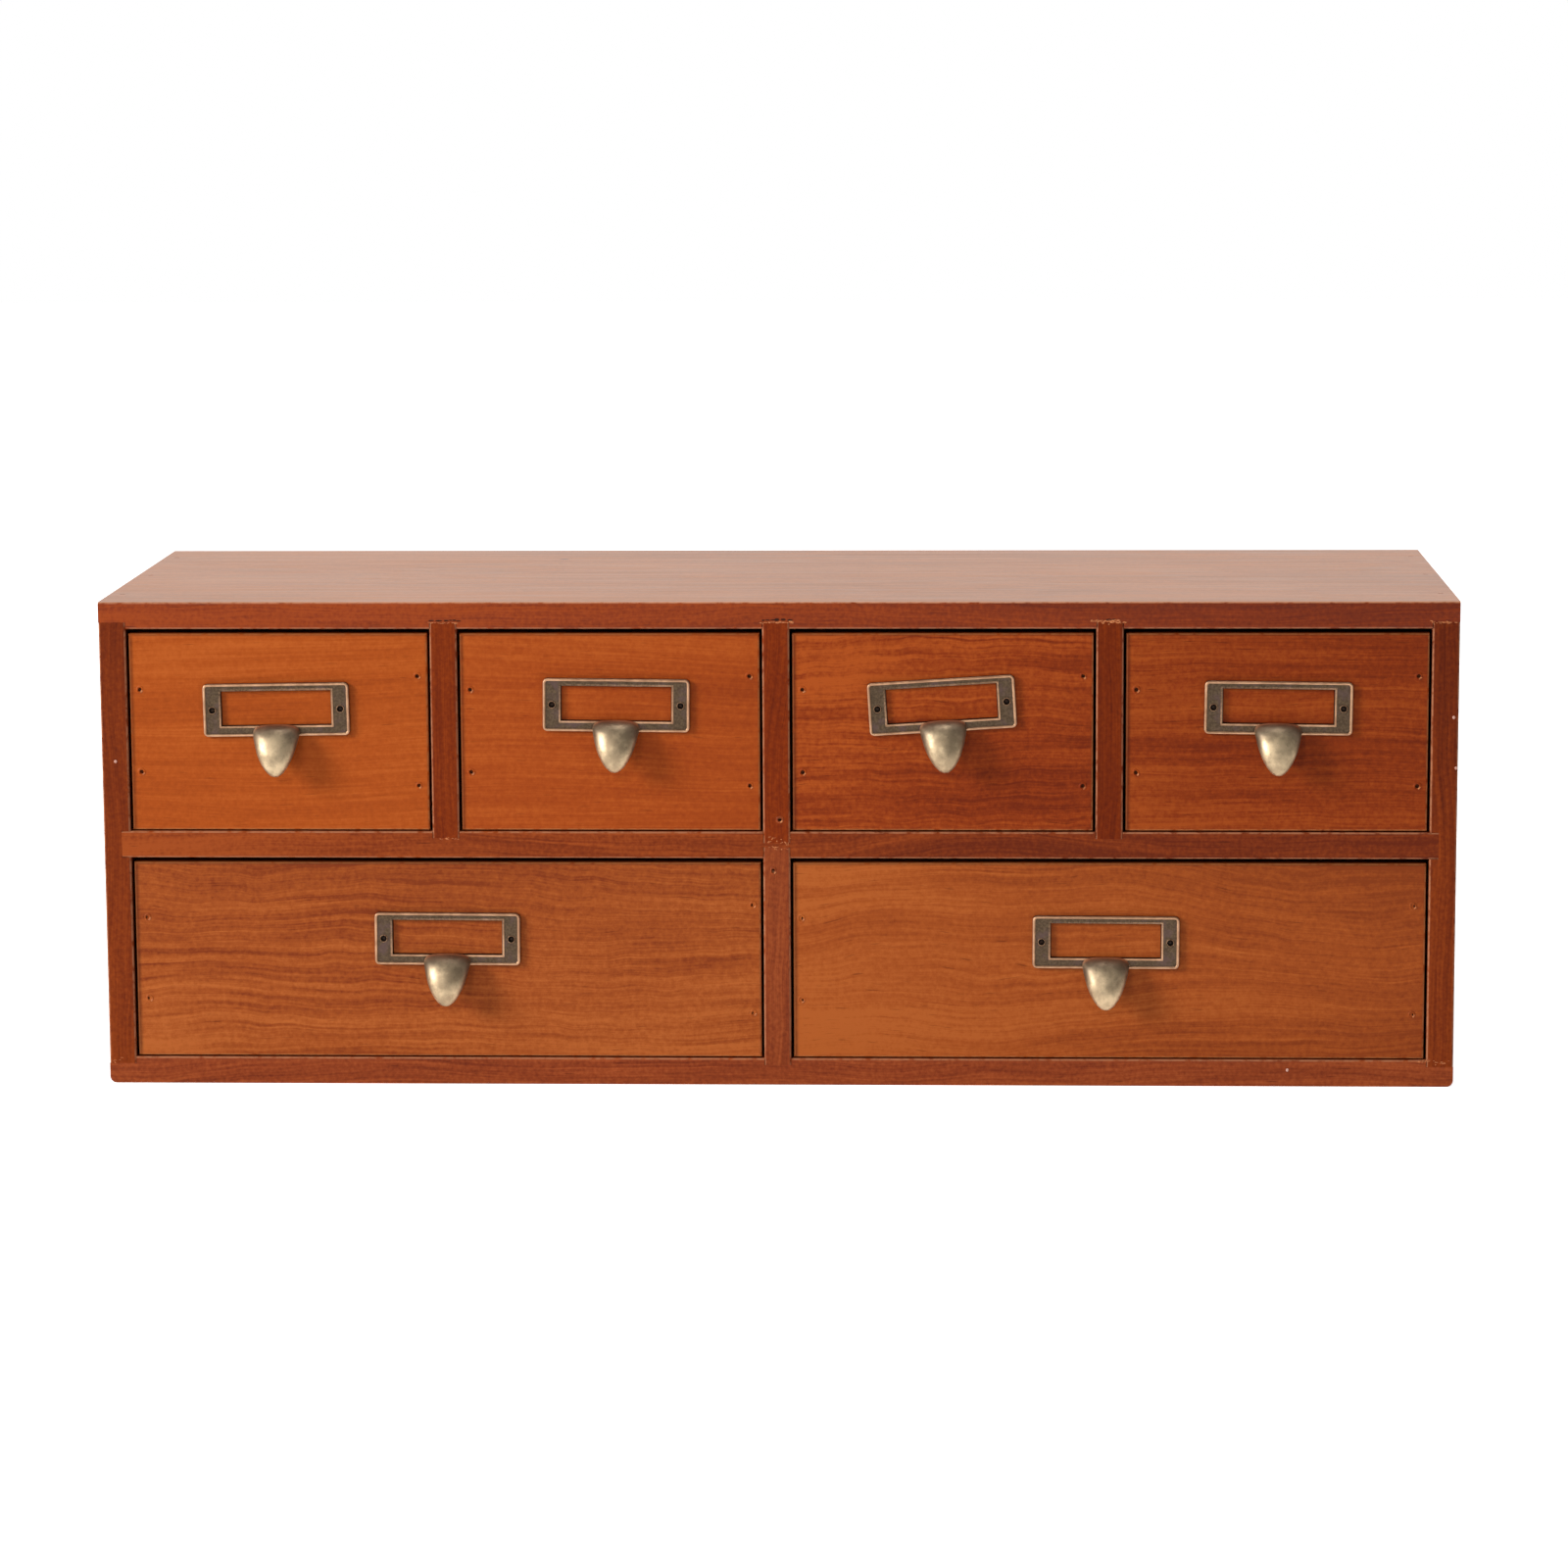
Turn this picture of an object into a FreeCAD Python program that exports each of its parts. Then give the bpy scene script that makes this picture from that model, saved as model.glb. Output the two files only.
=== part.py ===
"""A wooden parts cabinet: four small drawers above two wide ones, with cast brass pulls.

Lengths are in millimetres and angles in degrees. The origin is the centre of the underside,
+X to the right, +Y to the back and +Z up. The drawers slide out along -Y.
"""
import FreeCAD, Part
import os
import re
import Sketcher

SIZES = {
    # case
    "cabinet_width": 600.0,
    "cabinet_depth": 210.0,
    "board": 12.0,
    "upper_opening": 90.5,
    "lower_opening": 90.5,
    "end_rebate": 3.0,
    "shelf_housing": 4.0,
    "divider_housing": 3.0,
    "centre_housing": 5.0,
    "back_thickness": 4.0,
    "back_lap": 6.0,
    "panel_play": 0.5,
    "edge_ease": 1.0,
    "corner_round": 3.0,
    # case nails
    "nail_diameter": 2.2,
    "nail_length": 32.0,
    "nail_sink": 1.5,
    "nail_inset": 30.0,
    "nail_play": 0.1,
    "skew_length": 20.0,
    "skew_angle": 45.0,
    "skew_rise": 5.5,
    "skew_spread": 1.5,
    "panel_pin_diameter": 1.5,
    "panel_pin_length": 14.0,
    "panel_pin_sink": 0.3,
    # drawers
    "gap_top": 2.0,
    "gap_side": 1.2,
    "gap_under": 0.6,
    "front_recess": 0.5,
    "tail_gap": 0.5,
    "front_thickness": 12.0,
    "side_thickness": 9.0,
    "drawer_back": 9.0,
    "side_drop": 3.0,
    "bottom_thickness": 3.0,
    "groove_rise": 5.0,
    "groove_depth": 4.0,
    "groove_play": 0.2,
    # brads in the drawers
    "brad_diameter": 1.8,
    "brad_length": 25.0,
    "brad_sink": 1.2,
    "brad_play": 0.1,
    "left_brad_low": 26.0,
    "left_brad_high": 25.0,
    "right_brad_low": 20.0,
    "right_brad_high": 19.0,
    "tail_brad_length": 22.0,
    "tail_brad_edge": 20.0,
    "bottom_brad_length": 14.0,
    "bottom_brad_inset": 35.0,
    # cast pull
    "plate_thickness": 1.6,
    "plate_end": 8.25,
    "plate_edge": 4.3,
    "plate_corner": 2.0,
    "rim_width": 1.5,
    "rim_height": 0.7,
    "window_width": 48.5,
    "window_height": 15.0,
    "window_raise": 0.7,
    "window_rim": 1.3,
    "card_depth": 0.6,
    "card_lap": 1.2,
    "tongue_width": 20.0,
    "tongue_drop": 17.0,
    "tongue_stand": 12.0,
    "tongue_lean": 27.0,
    "tongue_wall": 1.5,
    "tongue_root_bite": 0.8,
    "roof_slope": 9.0,
    # pull pins
    "pin_inset": 4.25,
    "pin_head": 3.0,
    "pin_head_depth": 0.8,
    "pin_shank": 1.6,
    "pin_length": 10.0,
    "pin_sink": 0.4,
    "pin_play": 0.1,
}

# Each pull was put on by hand: its shift to the right and its rise from the middle of the
# opening, and its tilt, positive where the right end is high.
PULL_PLACES = {
    1: (-1.0, 9.5, 0.8),
    2: (2.9, 11.5, -0.6),
    3: (-0.3, 11.5, 3.5),
    4: (0.5, 10.3, -0.7),
    5: (0.0, 8.9, -0.3),
    6: (-1.2, 7.9, -0.3),
}
for pull_number, (shift, rise, tilt) in PULL_PLACES.items():
    SIZES[f"pull_shift_{pull_number}"] = shift
    SIZES[f"pull_rise_{pull_number}"] = rise
    SIZES[f"pull_tilt_{pull_number}"] = tilt

# Sizes that follow from the driving ones.
DERIVED = {
    "cabinet_height": "3 * board + upper_opening + lower_opening",
    "half_width": "cabinet_width / 2",
    "half_depth": "cabinet_depth / 2",
    "inner_depth": "cabinet_depth - back_thickness",
    "shelf_base": "board + lower_opening",
    "upper_bay": "(cabinet_width - 5 * board) / 4",
    "lower_bay": "(cabinet_width - 3 * board) / 2",
    "side_height": "cabinet_height - 2 * board + 2 * end_rebate",
    "upper_front_width": "upper_bay - 2 * gap_side",
    "upper_front_height": "upper_opening - gap_under - gap_top",
    "lower_front_width": "lower_bay - 2 * gap_side",
    "lower_front_height": "lower_opening - gap_under - gap_top",
    "drawer_length": "inner_depth - front_recess - tail_gap",
    "floor_top": "groove_rise + bottom_thickness",
    "plate_width": "window_width + 2 * plate_end",
    "plate_height": "window_height + 2 * plate_edge",
    "pin_spacing": "window_width + 2 * pin_inset",
    "plate_total": "plate_thickness + rim_height",
    "tongue_root": "window_raise - window_height / 2 - window_rim",
    "tongue_tip": "plate_height / 2 + tongue_drop",
    "tongue_slant": "(tongue_tip + tongue_root) / cos(tongue_lean)",
}

# Outer profile of the tongue from its tip to its root, and the profile that its hollow
# follows one wall further in: shares of its slanting length and of its half width.
TONGUE_PROFILE = ((0.0, 0.16), (0.05, 0.28), (0.14, 0.41), (0.27, 0.54), (0.42, 0.70),
                  (0.60, 0.86), (0.80, 0.96), (1.05, 1.0))
HOLLOW_PROFILE = ((0.10, 0.30), (0.27, 0.54), (0.60, 0.86), (0.88, 0.97))
TONGUE_SIDES = 20
NAIL_SIDES = 6

TINY = 1e-4
CUT_THROUGH = "1"
X_AXIS = FreeCAD.Vector(1, 0, 0)
Y_AXIS = FreeCAD.Vector(0, 1, 0)
Z_AXIS = FreeCAD.Vector(0, 0, 1)

doc = FreeCAD.newDocument("parts_cabinet")
sheet = doc.addObject("Spreadsheet::Sheet", "sizes")
for row, (alias, size) in enumerate(SIZES.items(), start=1):
    sheet.set(f"A{row}", alias)
    sheet.set(f"B{row}", str(size))
    sheet.setAlias(f"B{row}", alias)
results = doc.addObject("Spreadsheet::Sheet", "results")
worked_out = {}
doc.recompute()


# ---------------------------------------------------------------- formulas and sketches

def formula(text):
    """Write a formula of the named sizes as an expression of the sheet's cells."""
    def cell(match):
        word = match.group(0)
        if word in DERIVED:
            return f"({formula(DERIVED[word])})"
        return f"sizes.{word}" if word in SIZES else word
    return re.sub(r"[a-z_][a-z0-9_]*", cell, text)


def value(text):
    """The number that a formula of the named sizes comes to, from a cell of its own."""
    if text not in worked_out:
        cell = f"A{len(worked_out) + 1}"
        results.set(cell, f"={formula(text)}")
        results.recompute()
        worked_out[text] = float(results.get(cell))
    return worked_out[text]


def bind(thing, path, text):
    thing.setExpression(path, formula(text))


def put(thing, x="0", y="0", z="0"):
    """Place an object by formulas."""
    bind(thing, "Placement.Base.x", x)
    bind(thing, "Placement.Base.y", y)
    bind(thing, "Placement.Base.z", z)


def new_body(name):
    body = doc.addObject("PartDesign::Body", name)
    body.Label = name
    return body


def new_sketch(body, role, offset="0"):
    """A sketch on one of the body's own origin planes, moved along that plane's normal."""
    sketch = body.newObject("Sketcher::SketchObject", "outline")
    plane = next(item for item in body.Origin.OriginFeatures if item.Role == role)
    sketch.AttachmentSupport = [(plane, "")]
    sketch.MapMode = "FlatFace"
    bind(sketch, "AttachmentOffset.Base.z", offset)
    return sketch


def hold(sketch, geometry, end, formulas):
    """Hold an end of a line or an arc at a place given by two formulas."""
    for kind, text in zip(("DistanceX", "DistanceY"), formulas):
        number = sketch.addConstraint(
            Sketcher.Constraint(kind, -1, 1, geometry, end, value(text)))
        name = f"{kind}_{geometry}_{end}"
        sketch.renameConstraint(number, name)
        bind(sketch, f"Constraints.{name}", text)


def draw_outline(sketch, points):
    """A closed outline of straight lines, with every corner held by formulas."""
    corners = [FreeCAD.Vector(value(across), value(along), 0) for across, along in points]
    first = sketch.GeometryCount
    count = len(points)
    for place in range(count):
        line = Part.LineSegment(corners[place], corners[(place + 1) % count])
        sketch.addGeometry(line, False)
    for place in range(count):
        following = first + (place + 1) % count
        sketch.addConstraint(
            Sketcher.Constraint("Coincident", first + place, 2, following, 1))
    for place in range(count):
        hold(sketch, first + place, 1, points[place])


def rectangle(left, right, low, high):
    return [(left, low), (right, low), (right, high), (left, high)]


def centred(width, height, raised="0"):
    """A rectangle about the sketch's middle, raised by a formula."""
    return rectangle(f"-({width}) / 2", f"({width}) / 2",
                     f"{raised} - ({height}) / 2", f"{raised} + ({height}) / 2")


# ---------------------------------------------------------------- features of a body

def pad(body, role, points, length, backwards=False, both_ways=False):
    sketch = new_sketch(body, role)
    draw_outline(sketch, points)
    feature = body.newObject("PartDesign::Pad", "pad")
    feature.Profile = sketch
    bind(feature, "Length", length)
    feature.Reversed = backwards
    if both_ways:
        feature.SideType = "Symmetric"
    doc.recompute()
    return feature


def pocket(body, role, outlines, depth, offset="0", backwards=False):
    """Cut outlines into the body, and check that they did cut."""
    before = body.Shape.Volume
    sketch = new_sketch(body, role, offset)
    for points in outlines:
        draw_outline(sketch, points)
    feature = body.newObject("PartDesign::Pocket", "pocket")
    feature.Profile = sketch
    bind(feature, "Length", depth)
    feature.Reversed = backwards
    doc.recompute()
    if body.Shape.Volume > before - TINY:
        raise RuntimeError(f"a pocket of {body.Label} cuts nothing")


def round_edges(body, radius, chosen):
    """Fillet the edges of the body whose bounding box passes the test."""
    tip = body.Tip
    names = [f"Edge{number}" for number, edge in enumerate(tip.Shape.Edges, start=1)
             if chosen(edge.BoundBox)]
    if not names:
        raise RuntimeError(f"no edge of {body.Label} to round")
    feature = body.newObject("PartDesign::Fillet", "round")
    feature.Base = (tip, names)
    bind(feature, "Radius", radius)
    doc.recompute()


def on_front(box):
    """Whether an edge lies in the front face of a board."""
    return abs(box.YMin) < TINY and abs(box.YMax) < TINY


def long_on_front(box):
    """Whether an edge is one of the long ones of a board's front face."""
    longest = max(box.XLength, box.ZLength)
    return on_front(box) and longest > 2 * value("board")


# ---------------------------------------------------------------- nails, brads and pins

def rod(name, radius, height, turned):
    """A wire-like rod along +Z, turned by an angle about an axis."""
    axis, angle = turned
    piece = doc.addObject("Part::Prism", name)
    piece.Polygon = NAIL_SIDES
    bind(piece, "Circumradius", radius)
    bind(piece, "Height", height)
    piece.Placement = FreeCAD.Placement(FreeCAD.Vector(), FreeCAD.Rotation(axis, 1))
    bind(piece, "Placement.Rotation.Angle", angle)
    return piece


def driven(name, size, mouth, turned, length):
    """A nail driven below the surface at its mouth, and the hole that it fills.

    size is the start of the names of its diameter, sink and play. The nail points along
    +Z turned by an angle about an axis, so its direction is worked out from both.
    """
    axis, angle = turned
    if axis == X_AXIS:
        direction = ("0", f"-sin({angle})", f"cos({angle})")
    else:
        direction = (f"sin({angle})", "0", f"cos({angle})")
    play = "nail_play" if size in ("nail", "panel_pin") else "brad_play"
    sink = f"{size}_sink"
    pieces = []
    for label, start, radius, height in (
            (name, sink, f"{size}_diameter / 2", length),
            (f"{name}_hole", "-1", f"{size}_diameter / 2 + {play}",
             f"1 + {sink} + {length} + {play}")):
        piece = rod(label, radius, height, turned)
        put(piece, *(f"{place} + ({start}) * ({part})"
                     for place, part in zip(mouth, direction)))
        pieces.append(piece)
    return pieces


def group(name, things):
    """Separate solids that share one node, or one set of tools."""
    compound = doc.addObject("Part::Compound", name)
    compound.Label = name
    compound.Links = things
    return compound


def drilled(blank, name, holes):
    """The blank with its nail holes, under the node's own name."""
    blank.Label = f"{name}_blank"
    cut = doc.addObject("Part::Cut", name)
    cut.Label = name
    cut.Base = blank
    cut.Tool = holes
    return cut


UP = (X_AXIS, "0")
DOWN = (X_AXIS, "180")
TO_BACK = (X_AXIS, "-90")
TO_FRONT = (X_AXIS, "90")
TO_RIGHT = (Y_AXIS, "90")
TO_LEFT = (Y_AXIS, "-90")


def case_nails():
    """Nails through the top, the bottom and the sides, and two skew nails in front."""
    rows = ("-half_depth + nail_inset", "0", "half_depth - nail_inset")
    pairs = []
    for hand, inward in ((-1, TO_RIGHT), (1, TO_LEFT)):
        over_side = f"{hand} * (half_width - board / 2)"
        for y in rows:
            for z, turned in (("cabinet_height", DOWN), ("0", UP)):
                pairs.append(driven("nail", "nail", (over_side, y, z), turned, "nail_length"))
        for y in (rows[0], rows[2]):
            mouth = (f"{hand} * half_width", y, "shelf_base + board / 2")
            pairs.append(driven("nail", "nail", mouth, inward, "nail_length"))
    down_mouth = ("skew_spread", "-half_depth", "shelf_base + board + skew_rise")
    down_turn = (X_AXIS, "-90 - skew_angle")
    pairs.append(driven("skew_nail", "brad", down_mouth, down_turn, "skew_length"))
    up_mouth = ("-skew_spread", "-half_depth", "shelf_base - skew_rise")
    up_turn = (X_AXIS, "-90 + skew_angle")
    pairs.append(driven("skew_nail", "brad", up_mouth, up_turn, "skew_length"))
    return pairs


def panel_pins():
    """Pins round the edge of the back panel, into the lap of its rebate."""
    pairs = []
    for bays in (-1.5, -0.5, 0.5, 1.5):
        x = f"{bays} * (upper_bay + board)"
        for z in ("board - back_lap / 2", "cabinet_height - board + back_lap / 2"):
            mouth = (x, "half_depth", z)
            pairs.append(driven("pin", "panel_pin", mouth, TO_FRONT, "panel_pin_length"))
    for hand in (-1, 1):
        for z in ("board + lower_opening / 2", "cabinet_height - board - upper_opening / 2"):
            mouth = (f"{hand} * (half_width - board + back_lap / 2)", "half_depth", z)
            pairs.append(driven("pin", "panel_pin", mouth, TO_FRONT, "panel_pin_length"))
    return pairs


def gather(name, pairs):
    """One node of nails and one set of the holes that they fill."""
    nails = group(name, [nail for nail, hole in pairs])
    holes = group(f"{name}_holes", [hole for nail, hole in pairs])
    return nails, holes


# ---------------------------------------------------------------- case

def divider_places():
    """The middles of the three upper dividers, with the depths of their housings."""
    pitch = "(upper_bay + board)"
    return ((f"-{pitch}", "divider_housing"), ("0", "centre_housing"),
            (pitch, "divider_housing"))


def housings(places, surface, into):
    """Corners of the housings along a surface, from left to right."""
    points = []
    for middle, depth in places:
        points += [(f"{middle} - board / 2", surface),
                   (f"{middle} - board / 2", f"{surface} + {into} * {depth}"),
                   (f"{middle} + board / 2", f"{surface} + {into} * {depth}"),
                   (f"{middle} + board / 2", surface)]
    return points


def end_board(name, places, inner, outer, into, base):
    """The top or the bottom board, rebated at its ends over the side boards."""
    body = new_body(name)
    shoulder = f"{inner} + {into} * end_rebate"
    points = [("-half_width", shoulder), ("-half_width + board", shoulder),
              ("-half_width + board", inner)]
    points += housings(places, inner, into)
    points += [("half_width - board", inner), ("half_width - board", shoulder),
               ("half_width", shoulder), ("half_width", outer), ("-half_width", outer)]
    pad(body, "XZ_Plane", points, "cabinet_depth", backwards=True)
    inside = "half_width - board + back_lap"
    lap = rectangle(f"-({inside})", inside, f"{inner} - {into}", f"{inner} + {into} * back_lap")
    pocket(body, "XZ_Plane", [lap], "back_thickness", "-cabinet_depth", backwards=True)
    put(body, y="-half_depth", z=base)
    return body


def top_board(holes):
    places = [(middle, "divider_housing") for middle, depth in divider_places()]
    body = end_board("top_board", places, "0", "board", 1, "cabinet_height - board")
    round_edges(body, "edge_ease", long_on_front)
    return drilled(body, "top_board", holes)


def bottom_board(holes):
    places = [("0", "divider_housing")]
    body = end_board("bottom_board", places, "board", "0", -1, "0")
    end = value("half_width")

    def lower_end(box):
        return abs(box.XMin) > end - TINY and box.ZMax < TINY and box.YLength > 1

    def inner_front(box):
        return long_on_front(box) and box.ZMin > value("board") - TINY
    round_edges(body, "corner_round", lower_end)
    round_edges(body, "edge_ease", inner_front)
    return drilled(body, "bottom_board", holes)


def side_board(name, hand, holes):
    """A side board, with the housing of the shelf; hand is 1 on the right, -1 on the left."""
    body = new_body(name)
    inner = f"-{hand} * board / 2"
    outer = f"{hand} * board / 2"
    housed = f"{inner} + {hand} * shelf_housing"
    shelf_low = "end_rebate + lower_opening"
    shelf_high = f"{shelf_low} + board"
    points = [(outer, "0"), (inner, "0"), (inner, shelf_low), (housed, shelf_low),
              (housed, shelf_high), (inner, shelf_high), (inner, "side_height"),
              (outer, "side_height")]
    pad(body, "XZ_Plane", points, "cabinet_depth", backwards=True)
    lap = rectangle(f"{inner} - {hand}", f"{inner} + {hand} * back_lap",
                    "-1", "side_height + 1")
    pocket(body, "XZ_Plane", [lap], "back_thickness", "-cabinet_depth", backwards=True)
    round_edges(body, "edge_ease", long_on_front)
    put(body, f"{hand} * (half_width - board / 2)", "-half_depth", "board - end_rebate")
    return drilled(body, name, holes)


def middle_shelf(holes):
    body = new_body("middle_shelf")
    end = "half_width - board + shelf_housing"
    points = [(f"-({end})", "board")] + housings(divider_places(), "board", -1)
    points += [(end, "board"), (end, "0")]
    below = housings([("0", "centre_housing")], "0", 1)
    points += below[::-1] + [(f"-({end})", "0")]
    pad(body, "XZ_Plane", points, "inner_depth", backwards=True)
    round_edges(body, "edge_ease", long_on_front)
    put(body, y="-half_depth", z="shelf_base")
    return drilled(body, "middle_shelf", holes)


def divider(name, middle, base, height):
    body = new_body(name)
    outline = rectangle("-board / 2", "board / 2", "0", height)
    pad(body, "XZ_Plane", outline, "inner_depth", backwards=True)
    round_edges(body, "edge_ease", long_on_front)
    put(body, middle, "-half_depth", base)
    return body


def upper_dividers():
    names = ("upper_left_divider", "upper_centre_divider", "upper_right_divider")
    bodies = []
    for name, (middle, depth) in zip(names, divider_places()):
        bodies.append(divider(name, middle, f"shelf_base + board - {depth}",
                              f"upper_opening + {depth} + divider_housing"))
    return bodies


def back_panel(holes):
    body = new_body("back_panel")
    width = "cabinet_width - 2 * board + 2 * back_lap - 2 * panel_play"
    height = "cabinet_height - 2 * board + 2 * back_lap - 2 * panel_play"
    pad(body, "XZ_Plane", centred(width, height), "back_thickness")
    put(body, y="half_depth", z="cabinet_height / 2")
    return drilled(body, "back_panel", holes)


def case():
    """The fixed case of boards, panel, nails and pins."""
    nails, nail_holes = gather("case_nails", case_nails())
    pins, pin_holes = gather("back_panel_pins", panel_pins())
    every_hole = group("case_holes", [nail_holes, pin_holes])
    left, centre, right = upper_dividers()
    lower = divider("lower_divider", "0", "board - divider_housing",
                    "lower_opening + divider_housing + centre_housing")
    return [
        top_board(every_hole), bottom_board(every_hole),
        side_board("left_side", -1, every_hole), side_board("right_side", 1, every_hole),
        middle_shelf(nail_holes), left,
        drilled(centre, "upper_centre_divider", nail_holes), right,
        drilled(lower, "lower_divider", nail_holes),
        back_panel(pin_holes), nails, pins]


# ---------------------------------------------------------------- drawers

def drawer_front(name, width, height):
    """The front, standing at its own lower edge, with the groove of the drawer's bottom."""
    body = new_body(name)
    groove_top = "floor_top + groove_play"
    inner = "front_thickness - groove_depth"
    points = [("0", "0"), ("front_thickness", "0"), ("front_thickness", "groove_rise"),
              (inner, "groove_rise"), (inner, groove_top), ("front_thickness", groove_top),
              ("front_thickness", height), ("0", height)]
    pad(body, "YZ_Plane", points, width, both_ways=True)
    round_edges(body, "edge_ease", on_front)
    return body


def drawer_side(name, hand, height):
    """A side, its outer face at x = 0; hand is 1 on the right, -1 on the left."""
    body = new_body(name)
    inner = f"-{hand} * side_thickness"
    bed = f"-{hand} * (side_thickness - groove_depth)"
    groove_top = "floor_top + groove_play"
    points = [("0", "0"), (inner, "0"), (inner, "groove_rise"), (bed, "groove_rise"),
              (bed, groove_top), (inner, groove_top), (inner, height), ("0", height)]
    pad(body, "XZ_Plane", points, "drawer_length - front_thickness", backwards=True)
    return body


def block(name, width, depth, height):
    """A plain piece, centred in x and standing on z = 0 behind y = 0."""
    body = new_body(name)
    outline = rectangle(f"-({width}) / 2", f"({width}) / 2", "0", height)
    pad(body, "XZ_Plane", outline, depth, backwards=True)
    return body


def drawer_brads(name, x, y, z, width, height):
    """Brads through the front, through the sides' tails and up through the bottom."""
    pairs = []
    tail = f"{y} + drawer_length - drawer_back / 2"
    for hand, side, inward in ((-1, "left", TO_RIGHT), (1, "right", TO_LEFT)):
        over_side = f"{x} + {hand} * ({width} / 2 - side_thickness / 2)"
        for up in (f"{side}_brad_low", f"{height} - {side}_brad_high"):
            mouth = (over_side, y, f"{z} + {up}")
            pairs.append(driven("brad", "brad", mouth, TO_BACK, "brad_length"))
        for up in ("tail_brad_edge", f"{height} - side_drop - tail_brad_edge"):
            mouth = (f"{x} + {hand} * {width} / 2", tail, f"{z} + {up}")
            pairs.append(driven("brad", "brad", mouth, inward, "tail_brad_length"))
        under = f"{x} + {hand} * ({width} / 2 - bottom_brad_inset)"
        mouth = (under, tail, f"{z} + groove_rise")
        pairs.append(driven("brad", "brad", mouth, UP, "bottom_brad_length"))
    return gather(f"{name}_brads", pairs)


def flat_face(corners):
    return Part.Face(Part.makePolygon(corners + corners[:1]))


def bullet(name, profile, wall):
    """An upright many-sided bullet from its tip at the origin, one wall inside a profile.

    It is a shell of flat faces, because a loft would leave a curved patch on every side.
    """
    rings = []
    for up, across in profile:
        arm = FreeCAD.Vector(value(f"{across} * tongue_width / 2 - {wall}"), 0, 0)
        height = FreeCAD.Vector(0, 0, value(f"{up} * tongue_slant"))
        rings.append([FreeCAD.Rotation(Z_AXIS, 360 * side / TONGUE_SIDES).multVec(arm) + height
                      for side in range(TONGUE_SIDES)])
    faces = [flat_face(rings[0]), flat_face(rings[-1])]
    for low, high in zip(rings, rings[1:]):
        faces += [flat_face([low[side - 1], low[side], high[side], high[side - 1]])
                  for side in range(TONGUE_SIDES)]
    solid = doc.addObject("Part::Feature", name)
    solid.Shape = Part.makeSolid(Part.makeShell(faces))
    return solid


def tongue(name):
    """The hollow finger tongue: half a bullet that leans back to the plate.

    Its tip hangs below the plate, and a sloping roof and a shallow bite into the plate end
    it above.
    """
    back_half = doc.addObject("Part::Box", f"{name}_back_half")
    for side, length in (("Length", "2 * tongue_width"), ("Width", "tongue_width"),
                         ("Height", "2 * tongue_slant")):
        bind(back_half, side, length)
    put(back_half, "-tongue_width", "0", "-tongue_slant / 2")
    hollow = bullet(f"{name}_hollow", HOLLOW_PROFILE, "tongue_wall")
    shell = doc.addObject("Part::Cut", f"{name}_shell")
    shell.Base = bullet(f"{name}_bullet", TONGUE_PROFILE, "0")
    shell.Tool = group(f"{name}_removed", [back_half, hollow])
    shell.Placement = FreeCAD.Placement(FreeCAD.Vector(), FreeCAD.Rotation(-X_AXIS, 1))
    bind(shell, "Placement.Rotation.Angle", "tongue_lean")
    put(shell, y="-tongue_stand", z="-tongue_tip")
    trimmed = doc.addObject("Part::Cut", f"{name}_trimmed")
    trimmed.Base = shell
    trimmed.Tool = tongue_trim(f"{name}_trim")
    return trimmed


def tongue_trim(name):
    """What lies above the tongue's roof or behind its bite into the plate."""
    body = new_body(name)
    far = "3 * tongue_tip"
    face = "-tongue_root_bite"
    points = [(f"-{far}", f"tongue_root - {far} * tan(roof_slope)"), (face, "tongue_root"),
              (face, f"-{far}"), (far, f"-{far}"), (far, far), (f"-{far}", far)]
    pad(body, "YZ_Plane", points, far, both_ways=True)
    return body


def pull(name):
    """The cast label holder: a rimmed plate with a window, a card slot and a tongue."""
    body = new_body(f"{name}_plate")
    front = "plate_total"
    half_height = value("plate_height / 2")

    def corner(box):
        at_corner = min(abs(box.ZMin), abs(box.ZMax)) > half_height - TINY
        return at_corner and box.YLength > TINY and box.XLength < TINY

    pad(body, "XZ_Plane", centred("plate_width", "plate_height"), front)
    round_edges(body, "plate_corner", corner)
    field = centred("plate_width - 2 * rim_width", "plate_height - 2 * rim_width")
    island = centred("window_width + 2 * window_rim", "window_height + 2 * window_rim",
                     "window_raise")
    pocket(body, "XZ_Plane", [field, island], "rim_height", front)
    window = centred("window_width", "window_height", "window_raise")
    pocket(body, "XZ_Plane", [window], f"{front} + {CUT_THROUGH}", front)
    card = rectangle("-window_width / 2 - card_lap", "window_width / 2 + card_lap",
                     "window_raise - window_height / 2 - card_lap", "plate_height")
    pocket(body, "XZ_Plane", [card], "card_depth", backwards=True)
    whole = doc.addObject("Part::Fuse", f"{name}_cast")
    whole.Base = body
    whole.Tool = tongue(f"{name}_tongue")
    whole.Refine = True
    return whole


def stepped_rod(name, x, z, steps):
    """A rod of two sizes, such as a headed pin; each step is its start, radius and length."""
    rods = []
    for start, radius, length in steps:
        piece = rod(f"{name}_step", radius, length, TO_BACK)
        put(piece, x, start, z)
        rods.append(piece)
    fused = doc.addObject("Part::Fuse", name)
    fused.Base, fused.Tool = rods
    return fused


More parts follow.
